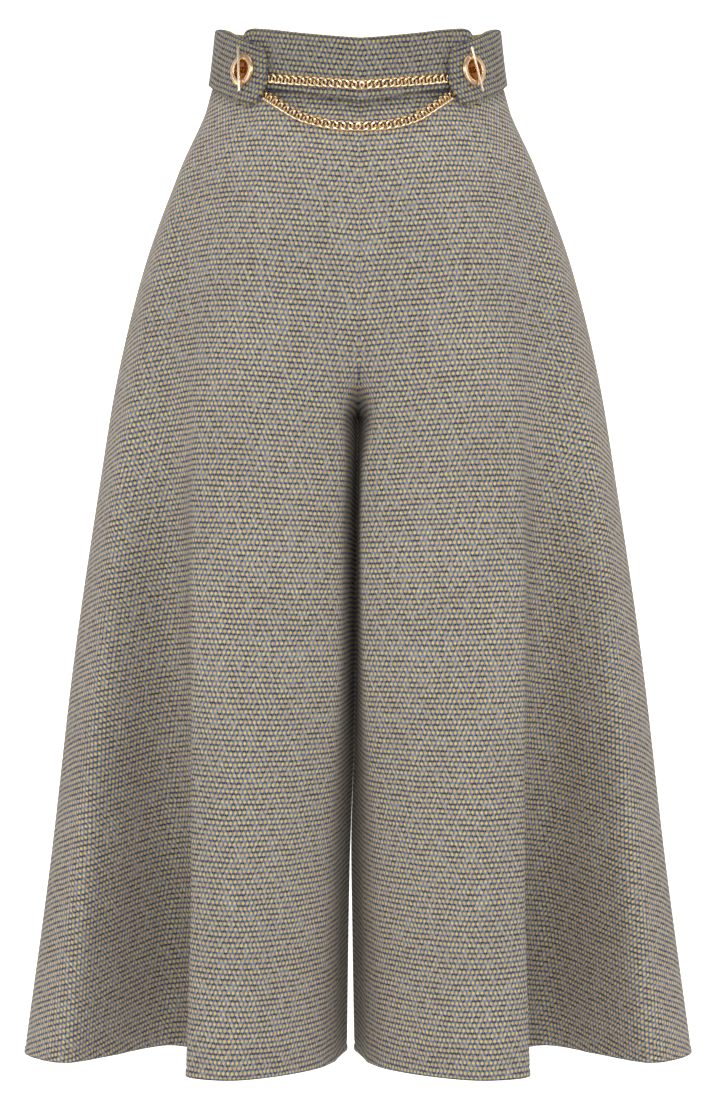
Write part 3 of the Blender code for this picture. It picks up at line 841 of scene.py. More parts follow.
@dataclass
class Shell:
    """A closed sheet of cloth between two grids of points, with rounded edges.

    Attributes:
        name: The piece's name.
        outer: Points of the face side, by row and column, in millimetres.
        inner: Points of the wrong side.
        cut: Where each point lies on the flat cut, in millimetres.
        roll: How far each edge is rounded, in millimetres.
        plain_roll: How far an edge that roll leaves out is rounded.
        rim_steps: Points across each rounded edge.
    """

    name: str
    outer: np.ndarray
    inner: np.ndarray
    cut: np.ndarray
    roll: dict = field(default_factory=dict)
    plain_roll: float = 0.15
    rim_steps: int = 3

    def border(self) -> list:
        """Follow the border of the grid.

        Returns:
            Row and column of each of its points, in order.
        """
        rows, columns = self.outer.shape[:2]
        line = [(0, column) for column in range(columns)]
        line += [(row, columns - 1) for row in range(1, rows)]
        line += [(rows - 1, column) for column in range(columns - 2, -1, -1)]
        return line + [(row, 0) for row in range(rows - 2, 0, -1)]

    def draw_in(self) -> None:
        """Draw each edge in by its rounding, so that the rounded edge ends where the edge was."""
        for edge, size in self.roll.items():
            for grid in (self.outer, self.inner):
                here, beside = {
                    Edge.TOP: (grid[0], grid[1]),
                    Edge.BOTTOM: (grid[-1], grid[-2]),
                    Edge.FIRST: (grid[:, 0], grid[:, 1]),
                    Edge.LAST: (grid[:, -1], grid[:, -2]),
                }[edge]
                toward = beside - here
                room = np.linalg.norm(toward, axis=-1, keepdims=True)
                here += toward / np.maximum(room, 1e-9) * np.minimum(size, 0.8 * room)

    def edge_size(self, row: int, column: int) -> float:
        """Find how far the edge at a border point is rounded.

        Args:
            row: The point's row.
            column: The point's column.

        Returns:
            The rounding, in millimetres, and the greater of two at a corner.
        """
        rows, columns = self.outer.shape[:2]
        met = {Edge.TOP: row == 0, Edge.BOTTOM: row == rows - 1,
               Edge.FIRST: column == 0, Edge.LAST: column == columns - 1}
        return max(self.roll.get(edge, self.plain_roll) for edge, here in met.items() if here)

    def rim(self, line: Sequence[tuple]) -> np.ndarray:
        """Round the edge from the face side to the wrong side.

        Args:
            line: Row and column of each point of the border.

        Returns:
            The points across the rim, border point by border point.
        """
        rows, columns = self.outer.shape[:2]
        rim = []
        for row, column in line:
            beside = self.outer[min(max(row, 1), rows - 2), min(max(column, 1), columns - 2)]
            middle = (self.outer[row, column] + self.inner[row, column]) / 2
            depth = (self.outer[row, column] - self.inner[row, column]) / 2
            away = unit(self.outer[row, column] - beside)
            away = unit(away - depth * (away @ depth) / max(depth @ depth, 1e-9))
            size = self.edge_size(row, column)
            for step in range(self.rim_steps):
                turn = math.pi * (0.5 - (step + 1) / (self.rim_steps + 1))
                rim.append(middle + depth * math.sin(turn) + away * size * math.cos(turn))
        return np.array(rim)

    def build(self, material: bpy.types.Material) -> bpy.types.Object:
        """Make the piece.

        Args:
            material: What it is made of.

        Returns:
            The piece.
        """
        self.draw_in()
        rows, columns = self.outer.shape[:2]
        half = rows * columns
        line = self.border()
        points = np.concatenate([self.outer.reshape(-1, 3), self.inner.reshape(-1, 3), self.rim(line)])
        edge_cut = np.repeat([self.cut[row, column] for row, column in line], self.rim_steps, axis=0)
        cut = np.concatenate([self.cut.reshape(-1, 2), self.cut.reshape(-1, 2), edge_cut])
        faces = grid_faces(rows, columns, 0, False) + grid_faces(rows, columns, half, True)
        ladders = []
        for spot, (row, column) in enumerate(line):
            number, first = row * columns + column, 2 * half + spot * self.rim_steps
            ladders.append([number, *range(first, first + self.rim_steps), half + number])
        for here, there in zip(ladders, ladders[1:] + ladders[:1]):
            faces += [(d, c, b, a) for a, b, c, d in zip(here, here[1:], there[1:], there)]
        return make_object(self.name, points, faces, material, cut * MM)


# Share of the way from the centre to the side seam, and how far the grain is turned back there at the waist
# seam and at the hem, in degrees. It changes from the one to the other over a stretch of the way down.
GRAIN_TURN = ((0.0, 3.5, -8.0), (0.15, 4.0, -5.0), (0.3, 8.0, 1.0), (0.42, 11.0, 8.0), (0.5, 10.6, 9.8),
              (0.62, 7.6, 8.0), (1.0, 6.0, 7.5))
TURN_STARTS, TURN_STRETCH = 0.3, 0.5


def fan_cut(grid: np.ndarray, grain: float, spine: float) -> np.ndarray:
    """Lay a flared panel flat as a fan of narrow strips.

    Args:
        grid: Points of the face side by level row and column, from the centre to the side, in millimetres.
        grain: Share of the columns at which a plain fan's grain would run straight down.
        spine: Share of the columns at which the rows are hung one below the other.

    Returns:
        Where each point lies on the flat cut, in millimetres.
    """
    rows, columns = grid.shape[:2]
    straight = round(grain * (columns - 1))
    hung = round(spine * (columns - 1))
    down = running_length(grid[:, straight])
    arcs = np.array([running_length(row) for row in grid])
    flare = (arcs[-1, -1] - arcs[0, -1]) / down[-1]
    reach = arcs[0, -1] / flare + down
    angle = (arcs - arcs[:, straight:straight + 1]) / reach[:, None]
    waist_turn, hem_turn = read_table(GRAIN_TURN, slice(1, None), np.linspace(0.0, 1.0, columns)).T
    low = ease(np.clip((down / down[-1] - TURN_STARTS) / TURN_STRETCH, 0.0, 1.0))[:, None]
    angle = angle - np.radians(waist_turn * (1 - low) + hem_turn * low)
    middle = (angle[:, 1:] + angle[:, :-1]) / 2
    step = np.diff(arcs, axis=1)[:, :, None] * np.stack([np.cos(middle), np.sin(middle)], axis=-1)
    cut = np.concatenate([np.zeros((rows, 1, 2)), np.cumsum(step, axis=1)], axis=1)
    level = unit(grid[1:, hung + 1] - grid[1:, hung - 1])
    drop = np.diff(grid[:, hung], axis=0)
    along = np.sum(level * drop, axis=1)
    below = np.sqrt(np.maximum(np.sum(drop * drop, axis=1) - along ** 2, 0.0))
    slant = (angle[1:, hung] + angle[:-1, hung]) / 2
    line = (along[:, None] * np.stack([np.cos(slant), np.sin(slant)], axis=-1)
            + below[:, None] * np.stack([np.sin(slant), -np.cos(slant)], axis=-1))
    line = np.concatenate([np.zeros((1, 2)), np.cumsum(line, axis=0)])
    return cut - cut[:, hung:hung + 1] + line[:, None]


def ride_and_replace(piece: bpy.types.Object, node: str) -> bpy.types.Object:
    """Fix a piece to the garment, in place of the solid that it stands for.

    Args:
        piece: The piece.
        node: The solid's name.

    Returns:
        The same piece.
    """
    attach(piece, BODY)
    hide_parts(node)
    return piece


def make_cloth(shell: Shell, finish: bpy.types.Material, node: str) -> bpy.types.Object:
    """Make a piece of cloth, fix it to the garment and say what its cut is.

    Args:
        shell: The cloth's form.
        finish: What it is made of.
        node: Name of the solid that it stands for.

    Returns:
        The piece.
    """
    piece = ride_and_replace(shell.build(finish), node)
    return piece


# ---------------------------------------------------------------------------------------------------
# Sub-assemblies
# ---------------------------------------------------------------------------------------------------

# Soft creases, placed one by one. Which leg (None is both), height of the top and bottom ends, place along
# the ring at each end, half width, and how far the crease stands out (or, below nought, sinks in).
CREASES = (
    (None, -205, -262, 0.20, 0.10, 7.0, -1.3),
    (Side.LEFT, -228, -275, 0.29, 0.16, 5.0, -0.8),
    (Side.RIGHT, -222, -279, 0.27, 0.17, 6.0, -0.9),
    (Side.LEFT, -60, -190, 0.33, 0.31, 10.0, 0.5),
    (Side.RIGHT, -70, -175, 0.36, 0.33, 11.0, 0.5),
    (None, -48, -120, 0.60, 0.64, 8.0, -0.9),
    (Side.LEFT, -330, -620, 0.31, 0.30, 13.0, 0.8),
    (Side.RIGHT, -380, -690, 0.33, 0.31, 15.0, 0.7),
    (Side.LEFT, -420, -793, 0.82, 0.80, 9.0, 1.1),
    (Side.RIGHT, -360, -793, 0.84, 0.81, 10.0, 1.0),
    (Side.LEFT, -520, -793, 0.93, 0.93, 8.0, -0.9),
    (Side.RIGHT, -560, -793, 0.92, 0.94, 8.0, -0.9),
    (Side.LEFT, -600, -793, 0.13, 0.14, 9.0, 1.2),
    (Side.RIGHT, -640, -793, 0.12, 0.13, 9.0, 1.0),
    (Side.LEFT, -200, -420, 1.70, 1.66, 12.0, -1.0),
    (Side.RIGHT, -210, -390, 1.69, 1.67, 12.0, -1.1),
    (Side.LEFT, -205, -268, 1.80, 1.90, 7.0, -1.3),
    (Side.RIGHT, -212, -272, 1.79, 1.89, 7.0, -1.2),
    (Side.LEFT, -450, -793, 1.26, 1.24, 11.0, 1.2),
    (Side.RIGHT, -400, -793, 1.25, 1.27, 11.0, 1.1),
    (Side.LEFT, -520, -793, 1.47, 1.49, 12.0, 1.2),
    (Side.RIGHT, -480, -793, 1.50, 1.48, 12.0, 1.1),
    (Side.LEFT, -90, -260, 1.45, 1.43, 12.0, -0.9),
    (Side.RIGHT, -80, -240, 1.46, 1.42, 12.0, -0.8),
)


@dataclass
class LegPanels:
    """The front and back of one leg, from the waist seam to the hem."""

    side: Side
    finish: bpy.types.Material
    slot: str = "tweed"
    thickness: float = 2.0
    front_columns: int = 86
    back_columns: int = 72
    row_step: float = 5.5
    fine_step: float = 1.6
    hem_turn: float = 6.5
    hem_dent: float = 0.7
    seam_groove: float = 0.5
    grain_front: float = 0.18
    grain_back: float = 0.20
    spine: float = 0.42
    hem_line: float = 1.3
    crease_fade: float = 0.35
    seam_ease: float = 0.04

    def heights(self) -> list:
        """Set out the rows below the waist seam, close together round the crotch and the hem.

        Returns:
            Their heights, falling.
        """
        stops = ((-50, self.row_step), (-250, self.row_step), (CROTCH_HEIGHT, self.fine_step),
                 (-300, 3.0), (-772, self.row_step), (HEM_HEIGHT, 1.5))
        rows = [-46.0]
        for end, step in stops:
            count = math.ceil((rows[-1] - end) / step)
            rows += list(np.linspace(rows[-1], end, count + 1)[1:])
        return rows

    def grid_heights(self, places: np.ndarray) -> np.ndarray:
        """Set the height of each point: the first row follows the waist seam, and lower ones grow level.

        Args:
            places: Place along the ring of each column.

        Returns:
            Heights by row and column.
        """
        seam = seam_height(places)
        start, end = SEAM_FADE
        rows = [seam - SEAM_GAP / 2]
        for level in self.heights():
            share = min(max((level - end) / (start - end), 0.0), 1.0)
            rows.append(level + share * (seam - start))
        return np.array(rows)

    def creases(self, grid: np.ndarray, places: np.ndarray) -> np.ndarray:
        """Work out the soft creases.

        Args:
            grid: Points of the face side by row and column.
            places: Place along the ring of each column.

        Returns:
            How far each point stands out.
        """
        arcs = np.array([running_length(row) for row in grid])
        total = np.zeros(grid.shape[:2])
        height = grid[:, :, 2]
        for which, top, bottom, place_top, place_bottom, width, rise in CREASES:
            if which not in (None, self.side):
                continue
            share = np.clip((top - height) / (top - bottom), 0.0, 1.0)
            place = place_top + (place_bottom - place_top) * share[:, 0]
            centre = np.array([np.interp(p, places, arc) for p, arc in zip(place, arcs)])
            fade = self.crease_fade * (top - bottom)
            fade_in = ease(np.clip((top - height) / fade, 0.0, 1.0))
            fade_out = ease(np.clip((height - bottom) / fade, 0.0, 1.0)) if bottom > HEM_HEIGHT else 1.0
            total += rise * (fade_in * fade_out) * np.exp(-((arcs - centre[:, None]) / width) ** 2)
        return total

    def edge_ease(self, places: np.ndarray) -> np.ndarray:
        """Keep creases off the seams.

        Args:
            places: Place along the ring of each column.

        Returns:
            A share for each: nought on a seam and one away from it.
        """
        stops = (INNER_FRONT, SIDE_SEAM, INNER_BACK)
        from_seam = np.min([np.abs(places - stop) for stop in stops], axis=0)
        return ease(np.clip(from_seam / self.seam_ease, 0.0, 1.0))

    def layers(self) -> tuple:
        """Work out the cloth of the whole leg, with its creases, its turned hem and its sunk seams.

        Returns:
            Outer and inner points by row and column, and the place along the ring of each column.
        """
        front = np.linspace(INNER_FRONT, SIDE_SEAM, self.front_columns)
        back = np.linspace(SIDE_SEAM, INNER_BACK, self.back_columns)
        places = np.concatenate([front, back[1:]])
        heights = self.grid_heights(places)
        outer = np.array([leg_points(self.side, places, row) for row in heights])
        joined = outer[:, 0, 2] <= CROTCH_HEIGHT
        normals = grid_normals(outer, joined) * -self.side.value
        outer = outer + normals * (self.creases(outer, places) * self.edge_ease(places))[:, :, None]
        normals = grid_normals(outer, joined) * -self.side.value
        from_hem = outer[:, :, 2] - HEM_HEIGHT
        dent = np.exp(-((from_hem - self.hem_turn) / self.hem_line) ** 2) * self.hem_dent
        swell = np.where(from_hem < self.hem_turn, self.hem_dent, 0.0)
        inner = outer - normals * self.thickness
        outer = outer - normals * (dent - 0.5 * swell)[:, :, None]
        for column in (0, -1):
            outer[~joined, column] -= normals[~joined, column] * self.seam_groove
        for grid in (outer, inner):
            centre = read_table(SLIT, 2, grid[:, 0, 2])[:, None]
            reach = np.maximum(self.side.value * (grid[:, :, 0] - centre), TOUCH)
            reach[~joined, 0] = TOUCH
            reach[~joined, -1] = TOUCH
            grid[:, :, 0] = centre + self.side.value * reach
        return outer, inner, places

    def flat_cut(self, face: np.ndarray, places: np.ndarray, grain: float) -> np.ndarray:
        """Where each point of a panel lies on its flat cut.

        Args:
            face: Points of the face side by row and column.
            places: Place along the ring of each column.
            grain: Share of the way to the side seam at which the grain would run straight down.

        Returns:
            Points of the cut by row and column, in millimetres.
        """
        levels = np.arange(-18.0, HEM_HEIGHT - BELOW_HEM, -3.0)
        order = slice(None) if places[0] == INNER_FRONT else slice(None, None, -1)
        level_rows = np.array([leg_points(self.side, places[order], level) for level in levels])
        flat = fan_cut(level_rows, grain, self.spine)[:, order]
        cut = np.zeros(face.shape[:2] + (2,))
        for column in range(face.shape[1]):
            for axis in range(2):
                cut[:, column, axis] = np.interp(-face[:, column, 2], -levels, flat[:, column, axis])
        return cut

    def build(self, hangs_from: dict) -> list:
        """Make both panels.

        Args:
            hangs_from: The front or the back half to the name of the piece that it hangs from; not used.

        Returns:
            The pieces.
        """
        outer, inner, places = self.layers()
        last = self.front_columns - 1
        made = []
        for half, columns, grain, centre_edge, side_edge in (
                (Half.FRONT, slice(None, last + 1), self.grain_front, Edge.FIRST, Edge.LAST),
                (Half.BACK, slice(last, None), self.grain_back, Edge.LAST, Edge.FIRST)):
            face = outer[:, columns].copy()
            roll = {Edge.TOP: 0.7, Edge.BOTTOM: 1.0, centre_edge: 0.0, side_edge: 0.3}
            cut = self.flat_cut(face, places[columns], grain)
            name = f"{half.value}_panel_{self.side.word}"
            shell = Shell(name, face, inner[:, columns].copy(), cut, roll)
            made.append(make_cloth(shell, self.finish, f"{half.value}_{self.side.word}"))
        return made


# How far out from the middle each end of the front band lies.
BAND_HALF_SPREAD = 91.0


@functools.lru_cache(maxsize=None)
def front_band_end() -> float:
    """Place along the ring where the front band ends."""
    places = np.linspace(INNER_FRONT, SIDE_SEAM, 401)
    return float(np.interp(BAND_HALF_SPREAD, leg_points(Side.LEFT, places, 0.0)[:, 0], places))


@dataclass
class Waistband:
    """The contoured band: a front piece with rounded shoulders and a back piece."""

    finish: bpy.types.Material
    slot: str = "band_tweed"
    thickness: float = 3.0
    shoulder: float = 9.0
    shoulder_fall: float = 0.6
    back_drop: float = 6.0
    rows: int = 18
    front_columns: int = 46
    back_columns: int = 84
    puff: float = 0.35

    def shell(self, name: str, spots: list, tops: np.ndarray, bottoms: np.ndarray) -> Shell:
        """Work out one piece of the band.

        Args:
            name: The piece's name.
            spots: Side and place along the ring of each column.
            tops: Height of each column's top.
            bottoms: Height of each column's foot.

        Returns:
            Its form.
        """
        share = np.linspace(0.0, 1.0, self.rows)
        outer = np.zeros((self.rows, len(spots), 3))
        normals = np.zeros_like(outer)
        for column, (side, place) in enumerate(spots):
            heights = tops[column] + (bottoms[column] - tops[column]) * share
            at = np.full(self.rows, place)
            point = leg_points(side, at, heights)
            normal = leg_normals(side, at, heights)
            if place in (INNER_FRONT, INNER_BACK):
                other = Side(-side.value)
                point = (point + leg_points(other, at, heights)) / 2
                normal = unit(normal + leg_normals(other, at, heights))
            outer[:, column] = point
            normals[:, column] = normal
        inner = outer - normals * self.thickness
        crown = self.puff * np.sin(np.pi * share) ** 0.6
        outer = outer + normals * crown[:, None, None]
        arcs = np.array([running_length(row) for row in outer])
        arcs -= arcs[:, -1:] / 2
        down = np.array([-running_length(column) for column in outer.transpose(1, 0, 2)]).T
        cut = np.stack([arcs, down], axis=-1)
        roll = {Edge.TOP: 1.4, Edge.BOTTOM: 0.9, Edge.FIRST: 1.2, Edge.LAST: 1.2}
        return Shell(name, outer, inner, cut, roll)

    def front(self) -> bpy.types.Object:
        """Make the front band, its ends rounded to a shoulder.

        Returns:
            The piece.
        """
        half = np.linspace(INNER_FRONT, front_band_end(), self.front_columns)
        spots = [(Side.RIGHT, p) for p in half[:0:-1]] + [(Side.LEFT, p) for p in half]
        tops, bottoms = [], []
        for side, place in spots:
            spare = max(BAND_HALF_SPREAD - abs(leg_points(side, place, 0.0)[0, 0]), 0.0)
            short = max(self.shoulder - spare, 0.0)
            drop = self.shoulder - math.sqrt(max(self.shoulder ** 2 - short ** 2, 0.0))
            tops.append(band_top(place)[0] - self.shoulder_fall * drop)
            bottoms.append(seam_height(place)[0] + SEAM_GAP / 2)
        shell = self.shell("front_band", spots, np.array(tops), np.array(bottoms))
        return make_cloth(shell, self.finish, "waistband_front")

    def back(self) -> bpy.types.Object:
        """Make the back band, a little lower where it runs under the tabs.

        Returns:
            The piece.
        """
        first = front_band_end()
        ends = leg_points(Side.LEFT, [first, first + 0.01], 0.0)
        first += SEAM_GAP * 0.01 / np.linalg.norm(ends[1] - ends[0])
        half = np.linspace(first, INNER_BACK, self.back_columns)
        spots = [(Side.LEFT, p) for p in half] + [(Side.RIGHT, p) for p in half[-2::-1]]
        tops, bottoms = [], []
        for _, place in spots:
            share = min(max((SIDE_SEAM - place) / (SIDE_SEAM - first), 0.0), 1.0)
            tops.append(band_top(place)[0] - self.back_drop * share)
            bottoms.append(seam_height(place)[0] + SEAM_GAP / 2)
        shell = self.shell("back_band", spots, np.array(tops), np.array(bottoms))
        return make_cloth(shell, self.finish, "waistband_back")


# The tab: length along the waist forward of the side seam, top edge, bottom edge, and how far its inner
# face stands off the band.
TAB_OUTLINE = ((-28, 20.9, -23.5, 0.5), (-10, 21.1, -23.0, 0.5), (10, 21.1, -23.2, 0.6),
               (27, 20.0, -28.3, 0.8), (43, 17.2, -34.0, 1.2), (53, 13.6, -37.6, 1.7),
               (62, 10.1, -40.6, 2.4), (70, 7.2, -43.0, 3.0), (76, 4.8, -44.2, 3.4),
               (80.5, 2.8, -44.2, 3.7), (83.5, 0.8, -43.0, 3.9), (86, -3.2, -36.5, 4.0),
               (88, -11.0, -31.2, 4.1), (89.1, -19.0, -27.0, 4.1))
TAB_THICKNESS = 3.0


@dataclass
class BeltTab:
    """A wide belt tab, sewn on behind the side seam, its cut-off end standing proud of the band."""

    side: Side
    finish: bpy.types.Material
    slot: str = "tab_tweed"
    step: float = 2.2
    rows: int = 26
    slope: float = -0.30

    def build(self, under: str) -> bpy.types.Object:
        """Make the tab.

        Args:
            under: Name of the piece that it lies on; not used.

        Returns:
            The piece.
        """
        start, end = TAB_OUTLINE[0][0], TAB_OUTLINE[-1][0]
        alongs = np.linspace(start, end, math.ceil((end - start) / self.step) + 1)
        lines = read_table(TAB_OUTLINE, slice(1, None), alongs)
        share = np.linspace(0.0, 1.0, self.rows)
        turn = math.atan(self.slope)
        top, bottom, off = lines.T
        height = top + (bottom - top) * share[:, None]
        inner = waist_points(self.side, alongs, height, off)
        outer = waist_points(self.side, alongs, height, off + TAB_THICKNESS)
        cut = np.stack([alongs * math.cos(turn) + height * math.sin(turn),
                        height * math.cos(turn) - alongs * math.sin(turn)], axis=-1)
        roll = {Edge.TOP: 1.3, Edge.BOTTOM: 1.3, Edge.FIRST: 1.0, Edge.LAST: 1.3}
        shell = Shell(f"belt_tab_{self.side.word}", outer, inner, cut, roll)
        return make_cloth(shell, self.finish, f"tab_{self.side.word}")


@dataclass
class Clasp:
    """The ring on a tab, the stud in it and the upright bar in front of it."""

    side: Side
    finish: bpy.types.Material
    bar_finish: bpy.types.Material
    cup_finish: bpy.types.Material
    slot: str = "gold_hardware"
    along: float = 66.0
    height: float = -15.2
    ring_outer: float = 25.0
    ring_inner: float = 16.0
    ring_depth: float = 2.4
    notches: int = 40
    bar_length: float = 36.5
    bar_diameter: float = 2.3
    bar_lean: float = math.radians(-11.2)
    bar_gap: float = 0.7
    turn_in: float = 0.9
    notch_depth: float = 0.5

    def axes(self) -> tuple:
        """Find how the clasp stands on its tab.

        Returns:
            Centre of the ring's back, and the ways along the tab, up and out.
        """
        off = float(read_table(TAB_OUTLINE, 3, self.along)[0]) + TAB_THICKNESS
        reach = self.ring_outer / 2
        centre = waist_points(self.side, self.along, self.height, off)
        ahead = waist_points(self.side, self.along + reach, self.height, off + self.turn_in)
        behind = waist_points(self.side, self.along - reach, self.height, off - self.turn_in)
        up = unit(waist_points(self.side, self.along, self.height + reach, off)
                  - waist_points(self.side, self.along, self.height - reach, off))
        out = unit(np.cross(ahead - behind, up))
        out = -out if out[1] > 0 else out
        return centre, np.cross(up, out), up, out

    def spun(self, profile: Sequence[tuple], steps: int, notch: Optional[set] = None) -> tuple:
        """Turn a closed profile of (radius, out) round the ring's axis.

        Args:
            profile: Points of the profile in order.
            steps: How many times it is set down round the ring.
            notch: Numbers of the profile's points that dip at two steps in four.

        Returns:
            Points and faces.
        """
        centre, along, up, out = self.axes()
        points, faces = [], []
        for step in range(steps):
            angle = 2 * math.pi * step / steps
            spoke = along * math.cos(angle) + up * math.sin(angle)
            for number, (radius, height) in enumerate(profile):
                low = self.notch_depth if notch and number in notch and step % 4 < 2 else 0.0
                points.append(centre + spoke * radius + out * (height - low))
        count = len(profile)
        for step in range(steps):
            here, there = step * count, (step + 1) % steps * count
            for corner in range(count):
                after = (corner + 1) % count
                faces.append((here + corner, here + after, there + after, there + corner))
        return points, faces

    def ring(self) -> bpy.types.Object:
        """Make the ring: a domed flange and a milled bead round its hole.

        Returns:
            The piece.
        """
        outer, inner, deep = self.ring_outer / 2, self.ring_inner / 2, self.ring_depth
        profile = ((inner + 0.1, 0.2), (inner - 0.2, 0.9), (inner - 0.15, deep - 0.7),
                   (inner + 0.05, deep - 0.15), (inner + 0.4, deep + 0.1), (inner + 1.0, deep + 0.25),
                   (inner + 2.0, deep + 0.2), (outer - 1.6, deep), (outer - 0.9, deep - 0.2),
                   (outer - 0.35, deep - 0.55), (outer - 0.05, deep - 1.1), (outer - 0.05, 0.2))
        points, faces = self.spun(profile, self.notches * 4, {2, 3})
        piece = make_object(f"ring_{self.side.word}_cast", points, faces, self.finish, sharp=math.radians(60))
        return ride_and_replace(piece, f"ring_{self.side.word}")

    def rod(self, start: np.ndarray, end: np.ndarray, radii: Sequence[tuple], sides: int) -> tuple:
        """Work out a round rod with flat caps.

        Args:
            start: Middle of one end.
            end: Middle of the other.
            radii: Rows of share of the way along and radius there.
            sides: Points round it.

        Returns:
            Points and faces.
        """
        axis = end - start
        across = unit(np.cross(axis, (1.0, 0.0, 0.0) if abs(unit(axis)[2]) > 0.7 else (0.0, 0.0, 1.0)))
        other = unit(np.cross(axis, across))
        points = []
        for share, radius in radii:
            for step in range(sides):
                angle = 2 * math.pi * step / sides
                spoke = across * math.cos(angle) + other * math.sin(angle)
                points.append(start + axis * share + spoke * radius)
        faces = [tuple(range(sides)), tuple(range((len(radii) - 1) * sides, len(radii) * sides))[::-1]]
        for row in range(len(radii) - 1):
            for step in range(sides):
                after = (step + 1) % sides
                low, high = row * sides, (row + 1) * sides
                faces.append((low + step, high + step, high + after, low + after))
        return points, faces

    def bar_height(self) -> float:
        """How far the bar's middle stands off the tab."""
        return self.ring_depth + self.bar_gap + self.bar_diameter / 2

    def bar(self) -> bpy.types.Object:
        """Make the upright bar, round-ended.

        Returns:
            The piece.
        """
        centre, along, up, out = self.axes()
        axis = up * math.cos(self.bar_lean) + along * math.sin(self.bar_lean)
        middle = centre + out * self.bar_height()
        radius = self.bar_diameter / 2
        cap = radius / self.bar_length
        radii = [(cap * (1 - math.sin(a)), radius * math.cos(a)) for a in np.linspace(1.35, 0.0, 6)]
        radii += [(1 - share, size) for share, size in radii[::-1]]
        half = axis * self.bar_length / 2
        points, faces = self.rod(middle - half, middle + half, radii, 28)
        name = f"bar_{self.side.word}_cast"
        piece = make_object(name, points, faces, self.bar_finish, sharp=math.radians(50))
        return ride_and_replace(piece, f"toggle_{self.side.word}")

    def stud(self) -> bpy.types.Object:
        """Make the stud through the ring, on a shallow dish that closes the ring's hole.

        Returns:
            The piece.
        """
        centre, _, _, out = self.axes()
        top = self.bar_height() - self.bar_diameter / 2 - 0.1
        dish = self.ring_inner / 2 - 0.25
        radii = ((0.1, dish), (0.5, dish), (0.75, dish - 0.5), (0.55, 4.2), (0.6, 2.6), (1.2, 2.2),
                 (top - 0.8, 1.7), (top - 0.2, 1.9), (top, 1.3))
        points, faces = self.rod(centre, centre + out, radii, 40)
        name = f"stud_{self.side.word}_cast"
        piece = make_object(name, points, faces, self.cup_finish, sharp=math.radians(50))
        return ride_and_replace(piece, f"post_{self.side.word}")

    def build(self) -> list:
        """Make the clasp's three pieces."""
        return [self.ring(), self.bar(), self.stud()]


# Centre lines of the chains from the middle to the end behind the tab: how far out, how high and how far
# off the cloth.
CHAIN_UPPER = ((0, -28.6, 0.4), (19.5, -27.0, 0.4), (35.5, -25.4, 0.4), (52, -23.8, 0.4),
               (69, -21.4, 0.4), (77, -20.4, 0.35))
CHAIN_LOWER = ((0, -60.6, 0.5), (13, -60.2, 0.5), (26, -58.6, 0.6), (36, -56.0, 0.9), (45.5, -52.2, 1.3),
               (55, -45.8, 1.6), (62.5, -40.2, 1.7), (70, -34.6, 0.8), (77, -29.5, 0.35))


